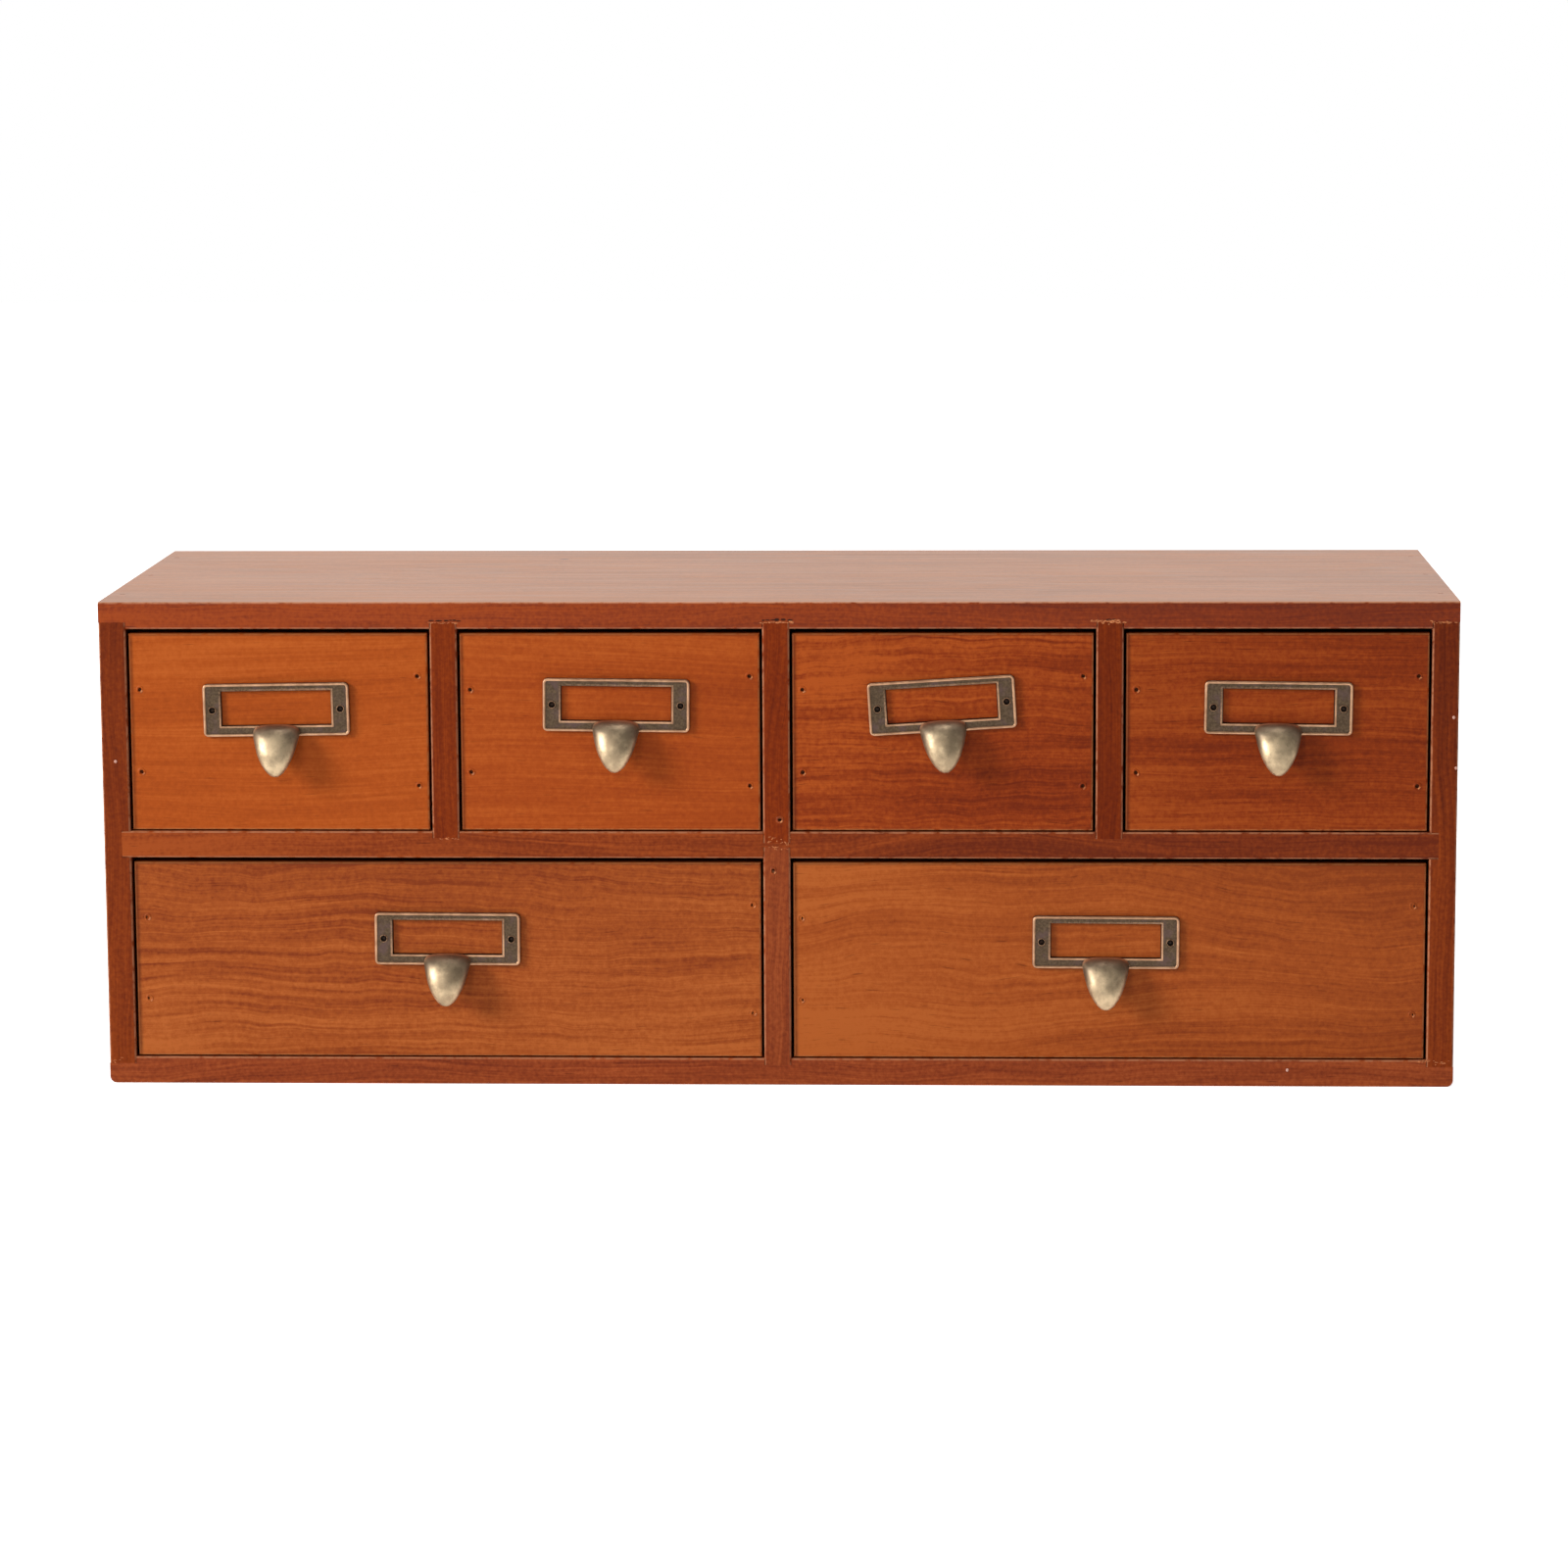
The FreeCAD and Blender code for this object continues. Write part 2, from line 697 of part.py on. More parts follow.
def pull_pins(name, number, x, y, z):
    """The two headed pins of a pull, with their holes in the plate and the front."""
    pins = []
    holes = []
    seat = f"{y} - plate_thickness + pin_sink"
    for hand in (-1, 1):
        along = f"{hand} * pin_spacing / 2"
        pin_x = f"{x} + {along} * cos(pull_tilt_{number})"
        pin_z = f"{z} + {along} * sin(pull_tilt_{number})"
        pin = ((seat, "pin_head / 2", "pin_head_depth"), (seat, "pin_shank / 2", "pin_length"))
        mouth = f"{seat} - pin_sink - 1"
        hole = ((mouth, "pin_head / 2 + pin_play", "pin_head_depth + pin_sink + 1"),
                (seat, "pin_shank / 2 + pin_play", "pin_length + pin_play"))
        pins.append(stepped_rod("pin", pin_x, pin_z, pin))
        holes.append(stepped_rod("pin_hole", pin_x, pin_z, hole))
    return group(f"{name}_pull_pins", pins), group(f"{name}_pin_holes", holes)


def placed_pull(name, number, x, y, z, holes):
    """The pull on its front, turned by its tilt about the middle of its plate."""
    body = pull(f"{name}_pull")
    body.Placement = FreeCAD.Placement(FreeCAD.Vector(), FreeCAD.Rotation(-Y_AXIS, 1))
    bind(body, "Placement.Rotation.Angle", f"pull_tilt_{number}")
    put(body, x, y, z)
    return drilled(body, f"{name}_pull", holes)


def drawer(number, row, column):
    """One drawer with its pull; column counts from the left."""
    name = f"drawer_{number}"
    width = f"({row}_front_width)"
    height = f"({row}_front_height)"
    x = f"(-half_width + board + {row}_bay / 2 + {column} * ({row}_bay + board))"
    y = "(-half_depth + front_recess)"
    opening_base = "(shelf_base + board)" if row == "upper" else "board"
    z = f"({opening_base} + gap_under)"

    brads, brad_holes = drawer_brads(name, x, y, z, width, height)
    pull_x = f"({x} + pull_shift_{number})"
    pull_z = f"({opening_base} + {row}_opening / 2 + pull_rise_{number})"
    pins, pin_holes = pull_pins(name, number, pull_x, y, pull_z)
    front_holes = group(f"{name}_front_holes", [brad_holes, pin_holes])

    front = drawer_front(f"{name}_front", width, height)
    put(front, x, y, z)
    nodes = [drilled(front, f"{name}_front", front_holes)]
    for hand, side in ((-1, "left"), (1, "right")):
        body = drawer_side(f"{name}_{side}_side", hand, f"{height} - side_drop")
        put(body, f"{x} + {hand} * {width} / 2", f"{y} + front_thickness", z)
        nodes.append(drilled(body, f"{name}_{side}_side", brad_holes))
    inner_width = f"{width} - 2 * side_thickness"
    tail = block(f"{name}_back", inner_width, "drawer_back",
                 f"{height} - side_drop - floor_top")
    put(tail, x, f"{y} + drawer_length - drawer_back", f"{z} + floor_top")
    nodes.append(drilled(tail, f"{name}_back", brad_holes))
    bed = "2 * (groove_depth - groove_play)"
    start = "(front_thickness - groove_depth + groove_play)"
    floor = block(f"{name}_bottom", f"{inner_width} + {bed}", f"drawer_length - {start}",
                  "bottom_thickness")
    put(floor, x, f"{y} + {start}", f"{z} + groove_rise")
    nodes.append(drilled(floor, f"{name}_bottom", brad_holes))
    nodes.append(placed_pull(name, number, pull_x, y, pull_z, pin_holes))
    return nodes + [pins, brads]


# ---------------------------------------------------------------- check and write

def write(nodes):
    """Write each node to its own file, after checking that the whole model is sound."""
    doc.recompute()
    failed = [thing.Name for thing in doc.Objects if {"Invalid", "Error"} & set(thing.State)]
    if failed:
        raise RuntimeError(f"failed objects: {failed}")
    for node in nodes:
        if node.Shape.isNull() or not node.Shape.isValid():
            raise RuntimeError(f"{node.Label} has no valid shape")
    os.makedirs("parts", exist_ok=True)
    for node in nodes:
        node.Shape.exportStep(f"parts/{node.Label}.step")
        print(f"{node.Label}: {len(node.Shape.Solids)} solids, {node.Shape.Volume:.0f} mm3")


def main():
    nodes = case()
    for column in range(4):
        nodes += drawer(column + 1, "upper", column)
    for column in range(2):
        nodes += drawer(column + 5, "lower", column)
    write(nodes)


main()
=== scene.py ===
"""The finish of the parts cabinet: stained boards, pale eased edges (rubbed, and in part a
painted highlight) and aged brass label holders.

Lengths are in metres in the frame of the solids: the origin is the centre of the underside,
+X is to the right, +Y to the back and +Z up. The added shapes are made in millimetres and put
in place by finished_mesh. What sits on a front is made lying in XY, facing +Z.
"""
import bmesh
import bpy
import math
import random
from mathutils import Matrix, Vector


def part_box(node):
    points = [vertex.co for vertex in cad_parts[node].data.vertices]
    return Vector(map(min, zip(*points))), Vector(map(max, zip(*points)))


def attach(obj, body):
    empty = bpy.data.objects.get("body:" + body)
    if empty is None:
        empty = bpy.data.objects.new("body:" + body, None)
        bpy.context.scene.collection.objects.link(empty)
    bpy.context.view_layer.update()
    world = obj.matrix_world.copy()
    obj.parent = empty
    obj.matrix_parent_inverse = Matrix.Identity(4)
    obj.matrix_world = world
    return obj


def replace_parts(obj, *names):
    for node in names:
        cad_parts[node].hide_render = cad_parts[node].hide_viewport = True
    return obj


MM = 0.001
CASE_FRONT = -0.105     # plane of the front edges of the case
DRAWER_FRONT = -0.1045  # plane of the drawer fronts
UPRIGHT = Matrix.Rotation(math.radians(90), 4, "X")

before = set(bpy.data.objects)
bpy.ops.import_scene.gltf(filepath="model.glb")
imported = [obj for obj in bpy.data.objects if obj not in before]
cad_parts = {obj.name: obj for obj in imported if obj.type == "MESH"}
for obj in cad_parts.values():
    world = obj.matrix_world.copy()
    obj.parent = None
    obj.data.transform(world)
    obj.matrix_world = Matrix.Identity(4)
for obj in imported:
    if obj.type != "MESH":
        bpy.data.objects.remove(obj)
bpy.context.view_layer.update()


# ---------------------------------------------------------------- node helpers

def new_material(name):
    material = bpy.data.materials.new(name)
    material.use_nodes = True
    material.node_tree.nodes.clear()
    return material, material.node_tree


def node(tree, kind, inputs=None, **settings):
    """A shader node; each input is a plain value or another node's output."""
    made = tree.nodes.new(kind)
    for key, value in settings.items():
        setattr(made, key, value)
    for key, value in (inputs or {}).items():
        if isinstance(value, bpy.types.NodeSocket):
            tree.links.new(value, made.inputs[key])
        else:
            made.inputs[key].default_value = value
    return made


def math_node(tree, operation, *values):
    made = node(tree, "ShaderNodeMath", dict(enumerate(values)), operation=operation)
    return made.outputs[0]


def product(tree, first, *others):
    """Multiply values, each a number or an output."""
    for other in others:
        first = math_node(tree, "MULTIPLY", first, other)
    return first


def centred(tree, value, share, onto):
    """Add share times a noise's departure from its middle."""
    from_middle = math_node(tree, "SUBTRACT", value, 0.5)
    return math_node(tree, "MULTIPLY_ADD", from_middle, share, onto)


def ramp(tree, value, low, high, start=0.0, end=1.0):
    """Bring a value from one range to another along a smooth curve, and stop at its ends."""
    made = node(tree, "ShaderNodeMapRange",
                {"Value": value, "From Min": low, "From Max": high,
                 "To Min": start, "To Max": end}, interpolation_type="SMOOTHSTEP")
    return made.outputs[0]


def noise(tree, vector, scale, detail=2.0, roughness=0.5):
    made = node(tree, "ShaderNodeTexNoise",
                {"Vector": vector, "Scale": scale, "Detail": detail, "Roughness": roughness})
    return made.outputs[0]


def object_position(tree):
    return node(tree, "ShaderNodeTexCoord").outputs["Object"]


def split(tree, vector):
    """The X, Y and Z outputs of a vector."""
    return node(tree, "ShaderNodeSeparateXYZ", {0: vector}).outputs


def joined(tree, x, y, z):
    return node(tree, "ShaderNodeCombineXYZ", {0: x, 1: y, 2: z}).outputs[0]


def colour(red, green, blue):
    return (red, green, blue, 1.0)


def scaled_colour(share, tone):
    return colour(*(share * part for part in tone))


def blend(tree, factor, first, second):
    """Mix two colours, each a tuple or an output."""
    mixed = node(tree, "ShaderNodeMix", {0: factor, 6: first, 7: second}, data_type="RGBA")
    return mixed.outputs[2]


def between(tree, value, low, high, first, second):
    """Go from one tone to another as a value goes from low to high."""
    return blend(tree, ramp(tree, value, low, high), colour(*first), colour(*second))


def bumped(tree, height, strength, distance):
    relief = node(tree, "ShaderNodeBump",
                  {"Height": height, "Strength": strength, "Distance": distance})
    return relief.outputs[0]


def set_surface(tree, inputs):
    """End a material in a surface with these inputs."""
    surface = node(tree, "ShaderNodeBsdfPrincipled", inputs)
    node(tree, "ShaderNodeOutputMaterial", {0: surface.outputs[0]})


# ---------------------------------------------------------------- wood

# For each direction of the grain: the axes along it, across it and in depth.
GRAIN_AXES = {"X": "XZY", "Y": "YZX", "Z": "ZXY"}
SEED_SHIFT = (0.37, 0.21, 0.53)  # how far one unit of a seed moves the noises, in turns
WOOD_IOR = 1.45
KNOT_COLOUR = (0.045, 0.016, 0.008)


def grain_noise(tree, vector, shift, along, across, detail=2.0, roughness=0.5):
    """Noise with one scale along the grain and another across it, in turns per metre."""
    mapped = node(tree, "ShaderNodeMapping",
                  {"Vector": vector, "Location": shift, "Scale": (along, across, across)})
    return noise(tree, mapped.outputs[0], 1.0, detail, roughness)


def wood_figure(tree, place, tooth, grain, seed, figure, bands, swirl, ripple):
    """The shade of the wood round 0.5, with its streaks, its fibre and its pores."""
    along, across, depth = (place[axis] for axis in GRAIN_AXES[grain])
    shift = tuple(seed * share for share in SEED_SHIFT)
    plain = joined(tree, along, across, depth)
    bend = grain_noise(tree, plain, shift, 6.0, 11.0, 1.0)
    wave = grain_noise(tree, plain, shift, 42.0, 26.0, 1.0)
    bent = centred(tree, bend, 0.045 * swirl, across)
    bent = centred(tree, wave, 0.012 * ripple, bent)
    grained = joined(tree, along, bent, depth)

    broad = grain_noise(tree, grained, shift, 2.4, 55.0)
    streaks = grain_noise(tree, grained, shift, 5.0, 260.0, 3.0, 0.6)
    fibre = grain_noise(tree, grained, shift, 20.0, 900.0, 3.0, 0.65)
    pores = grain_noise(tree, grained, shift, 90.0, 1300.0, 1.0)
    cloud = grain_noise(tree, plain, shift, 7.0, 16.0)
    lines = grain_noise(tree, grained, shift, 3.0, 170.0, 1.0)
    patches = grain_noise(tree, plain, shift, 8.0, 20.0)
    growth = product(tree, ramp(tree, lines, 0.40, 0.56), ramp(tree, lines, 0.66, 0.57),
                     ramp(tree, patches, 0.36, 0.62))

    shade = math_node(tree, "MULTIPLY_ADD", growth, -figure, 0.5 + 0.22 * figure)
    for part, share in ((broad, bands), (streaks, bands), (fibre, 1.0), (cloud, 0.4),
                        (tooth, 0.9)):
        shade = centred(tree, part, share, shade)
    return shade, streaks, fibre, pores


def stain_colour(tree, shade, tones):
    """The dark, middle and light tones of a stain laid along the shade of the wood."""
    dark, centre, light = (colour(*tone) for tone in tones)
    stain = node(tree, "ShaderNodeValToRGB", {0: shade})
    first, last = stain.color_ramp.elements
    first.position, first.color = 0.10, dark
    last.position, last.color = 0.90, light
    stain.color_ramp.elements.new(0.5).color = centre
    return stain.outputs[0]


def pale_upper_face_and_sheen(tree, tint, shade, position, pale_top_and_sheen, knot):
    """Make what faces up paler, in part bleached and in part a painted sheen, and put a dark
    knot in it.
    """
    facing = split(tree, node(tree, "ShaderNodeNewGeometry").outputs["True Normal"])
    pale = blend(tree, ramp(tree, shade, 0.2, 0.8), scaled_colour(0.82, pale_top_and_sheen),
                 scaled_colour(1.18, pale_top_and_sheen))
    centre, radius = knot
    away = node(tree, "ShaderNodeVectorMath", {0: position, 1: centre},
                operation="DISTANCE").outputs["Value"]
    pale = blend(tree, ramp(tree, away, 2.2 * radius, 0.7 * radius, 0.0, 0.8), pale,
                 colour(*KNOT_COLOUR))
    return blend(tree, ramp(tree, facing["Z"], 0.5, 0.9), tint, pale)


def pale_edges_worn_and_lit(tree, tint, position, place, darkest, front, edge_pale_colour, edge_paleness, shadow_edges):
    """Make the eased edges of a front pale, as rubbed wood and in part a painted highlight,
    and lay a painted shadow of the case along its left and upper edges, where they stay dark.
    """
    # The pale band on the eased edges is rubbed wood and in part a painted highlight where the
    # edges catch the light.
    past = math_node(tree, "SUBTRACT", place["Y"], front)
    rise = ramp(tree, past, 0.0, 0.10 * MM)
    fall = ramp(tree, past, 1.4 * MM, 0.8 * MM)
    crumbs = noise(tree, position, 260.0, 3.0, 0.65)
    edge = product(tree, rise, fall, ramp(tree, crumbs, 0.30, 0.56), edge_paleness)
    # A painted shadow of the case side and top along the left and upper edges of the set-back
    # front, with the pale edges kept out of it.
    if shadow_edges is not None:
        from_left = math_node(tree, "SUBTRACT", place["X"], shadow_edges[0])
        from_top = math_node(tree, "SUBTRACT", shadow_edges[1], place["Z"])
        painted_shadow = math_node(tree, "MAXIMUM", ramp(tree, from_left, 2.6 * MM, 0.7 * MM),
                          ramp(tree, from_top, 1.5 * MM, 0.6 * MM, 0.0, 0.7))
        painted_shadow = product(tree, painted_shadow, ramp(tree, crumbs, 0.2, 0.6, 0.45, 0.75))
        tint = blend(tree, painted_shadow, tint, scaled_colour(0.30, darkest))
        edge = product(tree, edge, math_node(tree, "SUBTRACT", 1.0, painted_shadow))
    return blend(tree, edge, tint, colour(*edge_pale_colour))


def stained_wood(name, tones, grain, seed, figure=0.3, bands=0.3, swirl=0.5, ripple=0.0,
                 middle=(0.0, 0.0), drift=(0.0, 0.0), front=None, edge_pale_colour=None, edge_paleness=0.0,
                 shadow_edges=None, pale_top_and_sheen=None, knot=None, gloss=0.42, specular=0.10):
    """Varnished stained wood.

    tones are its dark, middle and light colours. figure is how far the growth lines show and
    bands how far the broad streaks do; swirl and ripple are how far the grain wanders, in
    long bends and in short ones. drift is how much lighter the stain gets per metre to the
    right and upwards of the middle. front is the plane of a front whose eased edges are made
    pale in the colour edge_pale_colour, as far as edge_paleness says: rubbed wood and in part
    a painted highlight. shadow_edges gives the left and the upper edge of a front along which
    a painted shadow of the case is laid. pale_top_and_sheen is a paler colour for the upper
    face, in part bleached and in part a painted sheen, and knot the place and radius of a dark
    knot there. gloss is the roughness of the varnish.
    """
    material, tree = new_material(name)
    position = object_position(tree)
    place = split(tree, position)
    tooth = noise(tree, position, 560.0, 3.0, 0.65)
    even_shade, streaks, fibre, pores = wood_figure(tree, place, tooth, grain, seed, figure,
                                                    bands, swirl, ripple)
    shade = even_shade
    for axis, start, slope in (("X", middle[0], drift[0]), ("Z", middle[1], drift[1])):
        if slope:
            reach = math_node(tree, "SUBTRACT", place[axis], start)
            shade = math_node(tree, "MULTIPLY_ADD", reach, slope, shade)
    tint = stain_colour(tree, shade, tones)
    if pale_top_and_sheen is not None:
        tint = pale_upper_face_and_sheen(tree, tint, even_shade, position, pale_top_and_sheen, knot)
    tint = blend(tree, ramp(tree, pores, 0.33, 0.20, 0.0, 0.5), tint,
                 scaled_colour(0.45, tones[0]))
    if front is not None:
        tint = pale_edges_worn_and_lit(tree, tint, position, place, tones[0], front, edge_pale_colour, edge_paleness, shadow_edges)
    uneven = math_node(tree, "MULTIPLY_ADD", tooth, 0.6, fibre)
    set_surface(tree, {"Base Color": tint, "IOR": WOOD_IOR, "Specular IOR Level": specular,
                       "Roughness": ramp(tree, streaks, 0.3, 0.7, gloss - 0.03, gloss + 0.03),
                       "Normal": bumped(tree, uneven, 0.25, 0.12 * MM)})
    return material


def raw_wood(name, tones, grain, seed):
    """Planed wood with no stain, as inside a drawer."""
    return stained_wood(name, tones, grain, seed, gloss=0.62)


def rough_wood(name, dark, light):
    """Torn or bare wood with no varnish."""
    material, tree = new_material(name)
    crumbs = noise(tree, object_position(tree), 900.0, 3.0, 0.7)
    set_surface(tree, {"Base Color": between(tree, crumbs, 0.36, 0.64, dark, light),
                       "Roughness": ramp(tree, crumbs, 0.3, 0.7, 0.55, 0.75),
                       "Normal": bumped(tree, crumbs, 0.5, 0.2 * MM),
                       "IOR": WOOD_IOR, "Specular IOR Level": 0.15})
    return material


# ---------------------------------------------------------------- brass and iron

# How far the brass stands proud of the drawer front, in millimetres, where each change of its
# finish starts and where it is complete.
# Below these heights the brass is painted dark: dirt and in part painted shade in the pits, on
# the window's walls and round the plate.
SHADE_AND_DIRT_LOW = (1.45, 0.95)
RIMS_RUBBED = (1.62, 2.04)
TONGUE_BEGINS = (3.0, 5.0)
# The tongue brightens as it stands further out: finger polish and in part a painted highlight,
# with its upper part kept darker as painted shade.
TONGUE_POLISHED_AND_HIGHLIT = (7.0, 12.2)


def aged_brass():
    """Cast brass, aged and rubbed.

    It is brown in its low field and coppery on its rubbed rims. Its lowest parts, the pits,
    the window's lower walls and the skirt by the wood, are dark: dirt and in part painted
    shade.
    The tongue is a flat gold and brighter where it stands furthest out: finger polish and in
    part a painted highlight, with its upper part kept darker as painted shade.
    """
    material, tree = new_material("aged_brass")
    position = object_position(tree)
    proud = math_node(tree, "SUBTRACT", DRAWER_FRONT, split(tree, position)["Y"])
    speckle = noise(tree, position, 1100.0, 3.0, 0.6)
    cloud = noise(tree, position, 150.0, 3.0, 0.6)

    def zone(reach, limits, end=1.0):
        return ramp(tree, reach, limits[0] * MM, limits[1] * MM, 0.0, end)

    field = between(tree, speckle, 0.34, 0.66, (0.062, 0.038, 0.021), (0.112, 0.073, 0.041))
    field = blend(tree, ramp(tree, cloud, 0.46, 0.68, 0.0, 0.7), field,
                  colour(0.105, 0.062, 0.056))
    rim = between(tree, cloud, 0.35, 0.65, (0.38, 0.205, 0.115), (0.56, 0.325, 0.185))
    uneven = centred(tree, speckle, 0.35 * MM, proud)
    tint = blend(tree, zone(uneven, RIMS_RUBBED), field, rim)
    # The lowest parts go dark: dirt and in part painted shade.
    tint = blend(tree, zone(proud, SHADE_AND_DIRT_LOW, 0.9), tint, colour(0.020, 0.012, 0.008))

    # Darker where the tongue stays low, brighter far out: finger polish and in part a painted
    # highlight and painted shade.
    dull_and_shaded = between(tree, cloud, 0.36, 0.66, (0.185, 0.135, 0.087), (0.27, 0.20, 0.13))
    polished_and_highlit = between(tree, cloud, 0.36, 0.66, (0.36, 0.265, 0.16), (0.60, 0.455, 0.28))
    tongue = blend(tree, zone(proud, TONGUE_POLISHED_AND_HIGHLIT), dull_and_shaded, polished_and_highlit)
    tongue = blend(tree, ramp(tree, speckle, 0.42, 0.30, 0.0, 0.35), tongue,
                   colour(0.12, 0.085, 0.045))
    set_surface(tree, {"Base Color": blend(tree, zone(proud, TONGUE_BEGINS), tint, tongue),
                       "Metallic": 0.8, "Roughness": ramp(tree, speckle, 0.3, 0.7, 0.38, 0.52),
                       "Normal": bumped(tree, speckle, 0.15, 0.10 * MM)})
    return material


def dark_iron():
    """Iron browned by rust, for the pins and nails."""
    material, tree = new_material("dark_iron")
    rust = noise(tree, object_position(tree), 700.0, 3.0, 0.6)
    tint = between(tree, rust, 0.35, 0.7, (0.012, 0.005, 0.002), (0.052, 0.022, 0.009))
    set_surface(tree, {"Base Color": tint, "Metallic": 0.5,
                       "Roughness": ramp(tree, rust, 0.3, 0.7, 0.5, 0.75)})
    return material


# ---------------------------------------------------------------- dressing the boards

CASE_TONES = ((0.115, 0.017, 0.0045), (0.200, 0.035, 0.0072), (0.300, 0.062, 0.0125))
# Colour of the case's pale eased edges: rubbed wood and in part a painted highlight.
CASE_EDGE_WEAR_AND_HIGHLIGHT = (0.48, 0.20, 0.10)
BOARDS = {
    # node: grain, seed, strength of the stain, share of green, streaks, drift right and up
    "top_board": ("X", 1.0, 1.10, 0.76, 0.45, (-0.9, 0.0)),
    "bottom_board": ("X", 2.3, 1.40, 1.08, 0.45, (0.2, 0.0)),
    "left_side": ("Z", 3.1, 0.92, 0.84, 0.35, (0.0, -2.0)),
    "right_side": ("Z", 4.7, 0.94, 0.84, 0.35, (0.0, -2.0)),
    "middle_shelf": ("X", 5.9, 1.16, 0.95, 0.50, (-1.1, 0.0)),
    "upper_left_divider": ("Z", 6.2, 0.88, 0.72, 0.35, (0.0, 0.0)),
    "upper_centre_divider": ("Z", 7.4, 0.97, 0.70, 0.35, (0.0, 0.0)),
    "upper_right_divider": ("Z", 8.8, 0.78, 0.68, 0.35, (0.0, 0.0)),
    "lower_divider": ("Z", 9.5, 1.25, 1.08, 0.35, (0.0, 0.0)),
}
# The top board's upper face is made paler: in part bleached, in part a painted sheen.
TOP_FINISH = {"pale_top_and_sheen": (0.36, 0.125, 0.035), "knot": ((-0.1074, 0.0670, 0.217), 1.3 * MM),
              "gloss": 0.32, "specular": 0.2}
BACK_TONES = ((0.27, 0.135, 0.062), (0.34, 0.185, 0.09), (0.40, 0.235, 0.125))
# Colour of the fronts' pale eased edges: rubbed wood and in part a painted highlight.
FRONT_EDGE_WEAR_AND_HIGHLIGHT = (0.60, 0.25, 0.09)
FRONTS = {
    # drawer: seed, tones, figure, streaks, long bends, ripples, drift right and up
    1: (11.0, ((0.31, 0.053, 0.006), (0.40, 0.075, 0.0085), (0.48, 0.104, 0.015)),
        0.12, 0.60, 0.5, 0.0, (0.0, 0.0)),
    2: (12.6, ((0.28, 0.043, 0.0055), (0.365, 0.063, 0.0075), (0.455, 0.094, 0.013)),
        0.12, 0.60, 0.5, 0.0, (-1.6, 1.6)),
    3: (13.9, ((0.16, 0.019, 0.003), (0.27, 0.039, 0.005), (0.42, 0.080, 0.011)),
        0.38, 0.85, 0.3, 0.5, (-2.1, 2.6)),
    4: (15.3, ((0.155, 0.019, 0.003), (0.25, 0.036, 0.0045), (0.36, 0.067, 0.009)),
        0.18, 0.70, 0.3, 0.2, (-1.6, -0.4)),
    5: (16.8, ((0.22, 0.038, 0.008), (0.35, 0.076, 0.0135), (0.47, 0.121, 0.025)),
        0.32, 0.60, 0.6, 0.5, (-0.1, -5.0)),
    6: (18.1, ((0.24, 0.044, 0.008), (0.355, 0.075, 0.0125), (0.45, 0.111, 0.021)),
        0.24, 0.60, 1.2, 0.3, (-2.1, -1.8)),
}
INNER_TONES = ((0.44, 0.27, 0.155), (0.56, 0.375, 0.23), (0.65, 0.465, 0.31))


def paint(name, material):
    """Give a node of the solids one material."""
    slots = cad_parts[name].data.materials
    slots.clear()
    slots.append(material)


def middle_of(name):
    lowest, highest = (Vector(corner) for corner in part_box(name))
    return (lowest.x + highest.x) / 2, (lowest.z + highest.z) / 2


def left_and_top(name):
    lowest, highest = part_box(name)
    return lowest[0], highest[2]


def dress_case():
    for name, (grain, seed, strength, green, bands, drift) in BOARDS.items():
        tones = [(strength * red, strength * green * mid, strength * green ** 4 * blue)
                 for red, mid, blue in CASE_TONES]
        finish = TOP_FINISH if name == "top_board" else {}
        paint(name, stained_wood(
            f"stain_{name}", tones, grain, seed, 0.2, bands, 0.6, 0.2, middle_of(name), drift,
            CASE_FRONT, CASE_EDGE_WEAR_AND_HIGHLIGHT, edge_paleness=0.7, **finish))
    paint("back_panel", raw_wood("thin_back_board", BACK_TONES, "X", 21.0))
    for name in ("case_nails", "back_panel_pins"):
        paint(name, iron)


def dress_drawers():
    inner_long = raw_wood("planed_side", INNER_TONES, "Y", 31.0)
    inner_cross = raw_wood("planed_back", INNER_TONES, "X", 33.0)
    for number, (seed, tones, figure, bands, swirl, ripple, drift) in FRONTS.items():
        drawer = f"drawer_{number}"
        front = f"{drawer}_front"
        # Each front has pale eased edges, in part a painted highlight, and a painted shadow
        # along its left and upper edges.
        paint(front, stained_wood(
            f"stain_{drawer}", tones, "X", seed, figure, bands, swirl, ripple,
            middle_of(front), drift, DRAWER_FRONT, FRONT_EDGE_WEAR_AND_HIGHLIGHT, edge_paleness=0.5,
            shadow_edges=left_and_top(front)))
        for side in ("left_side", "right_side"):
            paint(f"{drawer}_{side}", inner_long)
        for part in ("back", "bottom"):
            paint(f"{drawer}_{part}", inner_cross)
        paint(f"{drawer}_brads", stained_over)
        paint(f"{drawer}_pull_pins", iron)
        paint(f"{drawer}_pull", brass)


# ---------------------------------------------------------------- label holders

PULLS = {
    # drawer: middle of the plate in x and z, and its tilt in degrees
    1: (-221.5, 169.25, 0.8), 2: (-70.6, 171.25, -0.6), 3: (73.2, 171.25, 3.5),
    4: (221.0, 170.05, -0.7), 5: (-147.0, 66.15, -0.3), 6: (145.8, 65.15, -0.3),
}
# The plate, with its heights over the drawer front.
PLATE_HALF = Vector((32.5, 11.8))
PLATE_CORNER = 2.1
OUTER_RIM_TOP = 2.3
OUTER_RIM_WIDTH = 1.3
FIELD = 1.6
FIELD_SLOPE = 0.6       # how far the outer rim runs out into the low field
WINDOW_HALF = Vector((24.25, 7.5))
WINDOW_RAISE = 0.7
WINDOW_BORDER = 1.15    # from the window to the outside of its rim
WINDOW_RIM_TOP = 2.02
WINDOW_RIM_WIDTH = 0.8
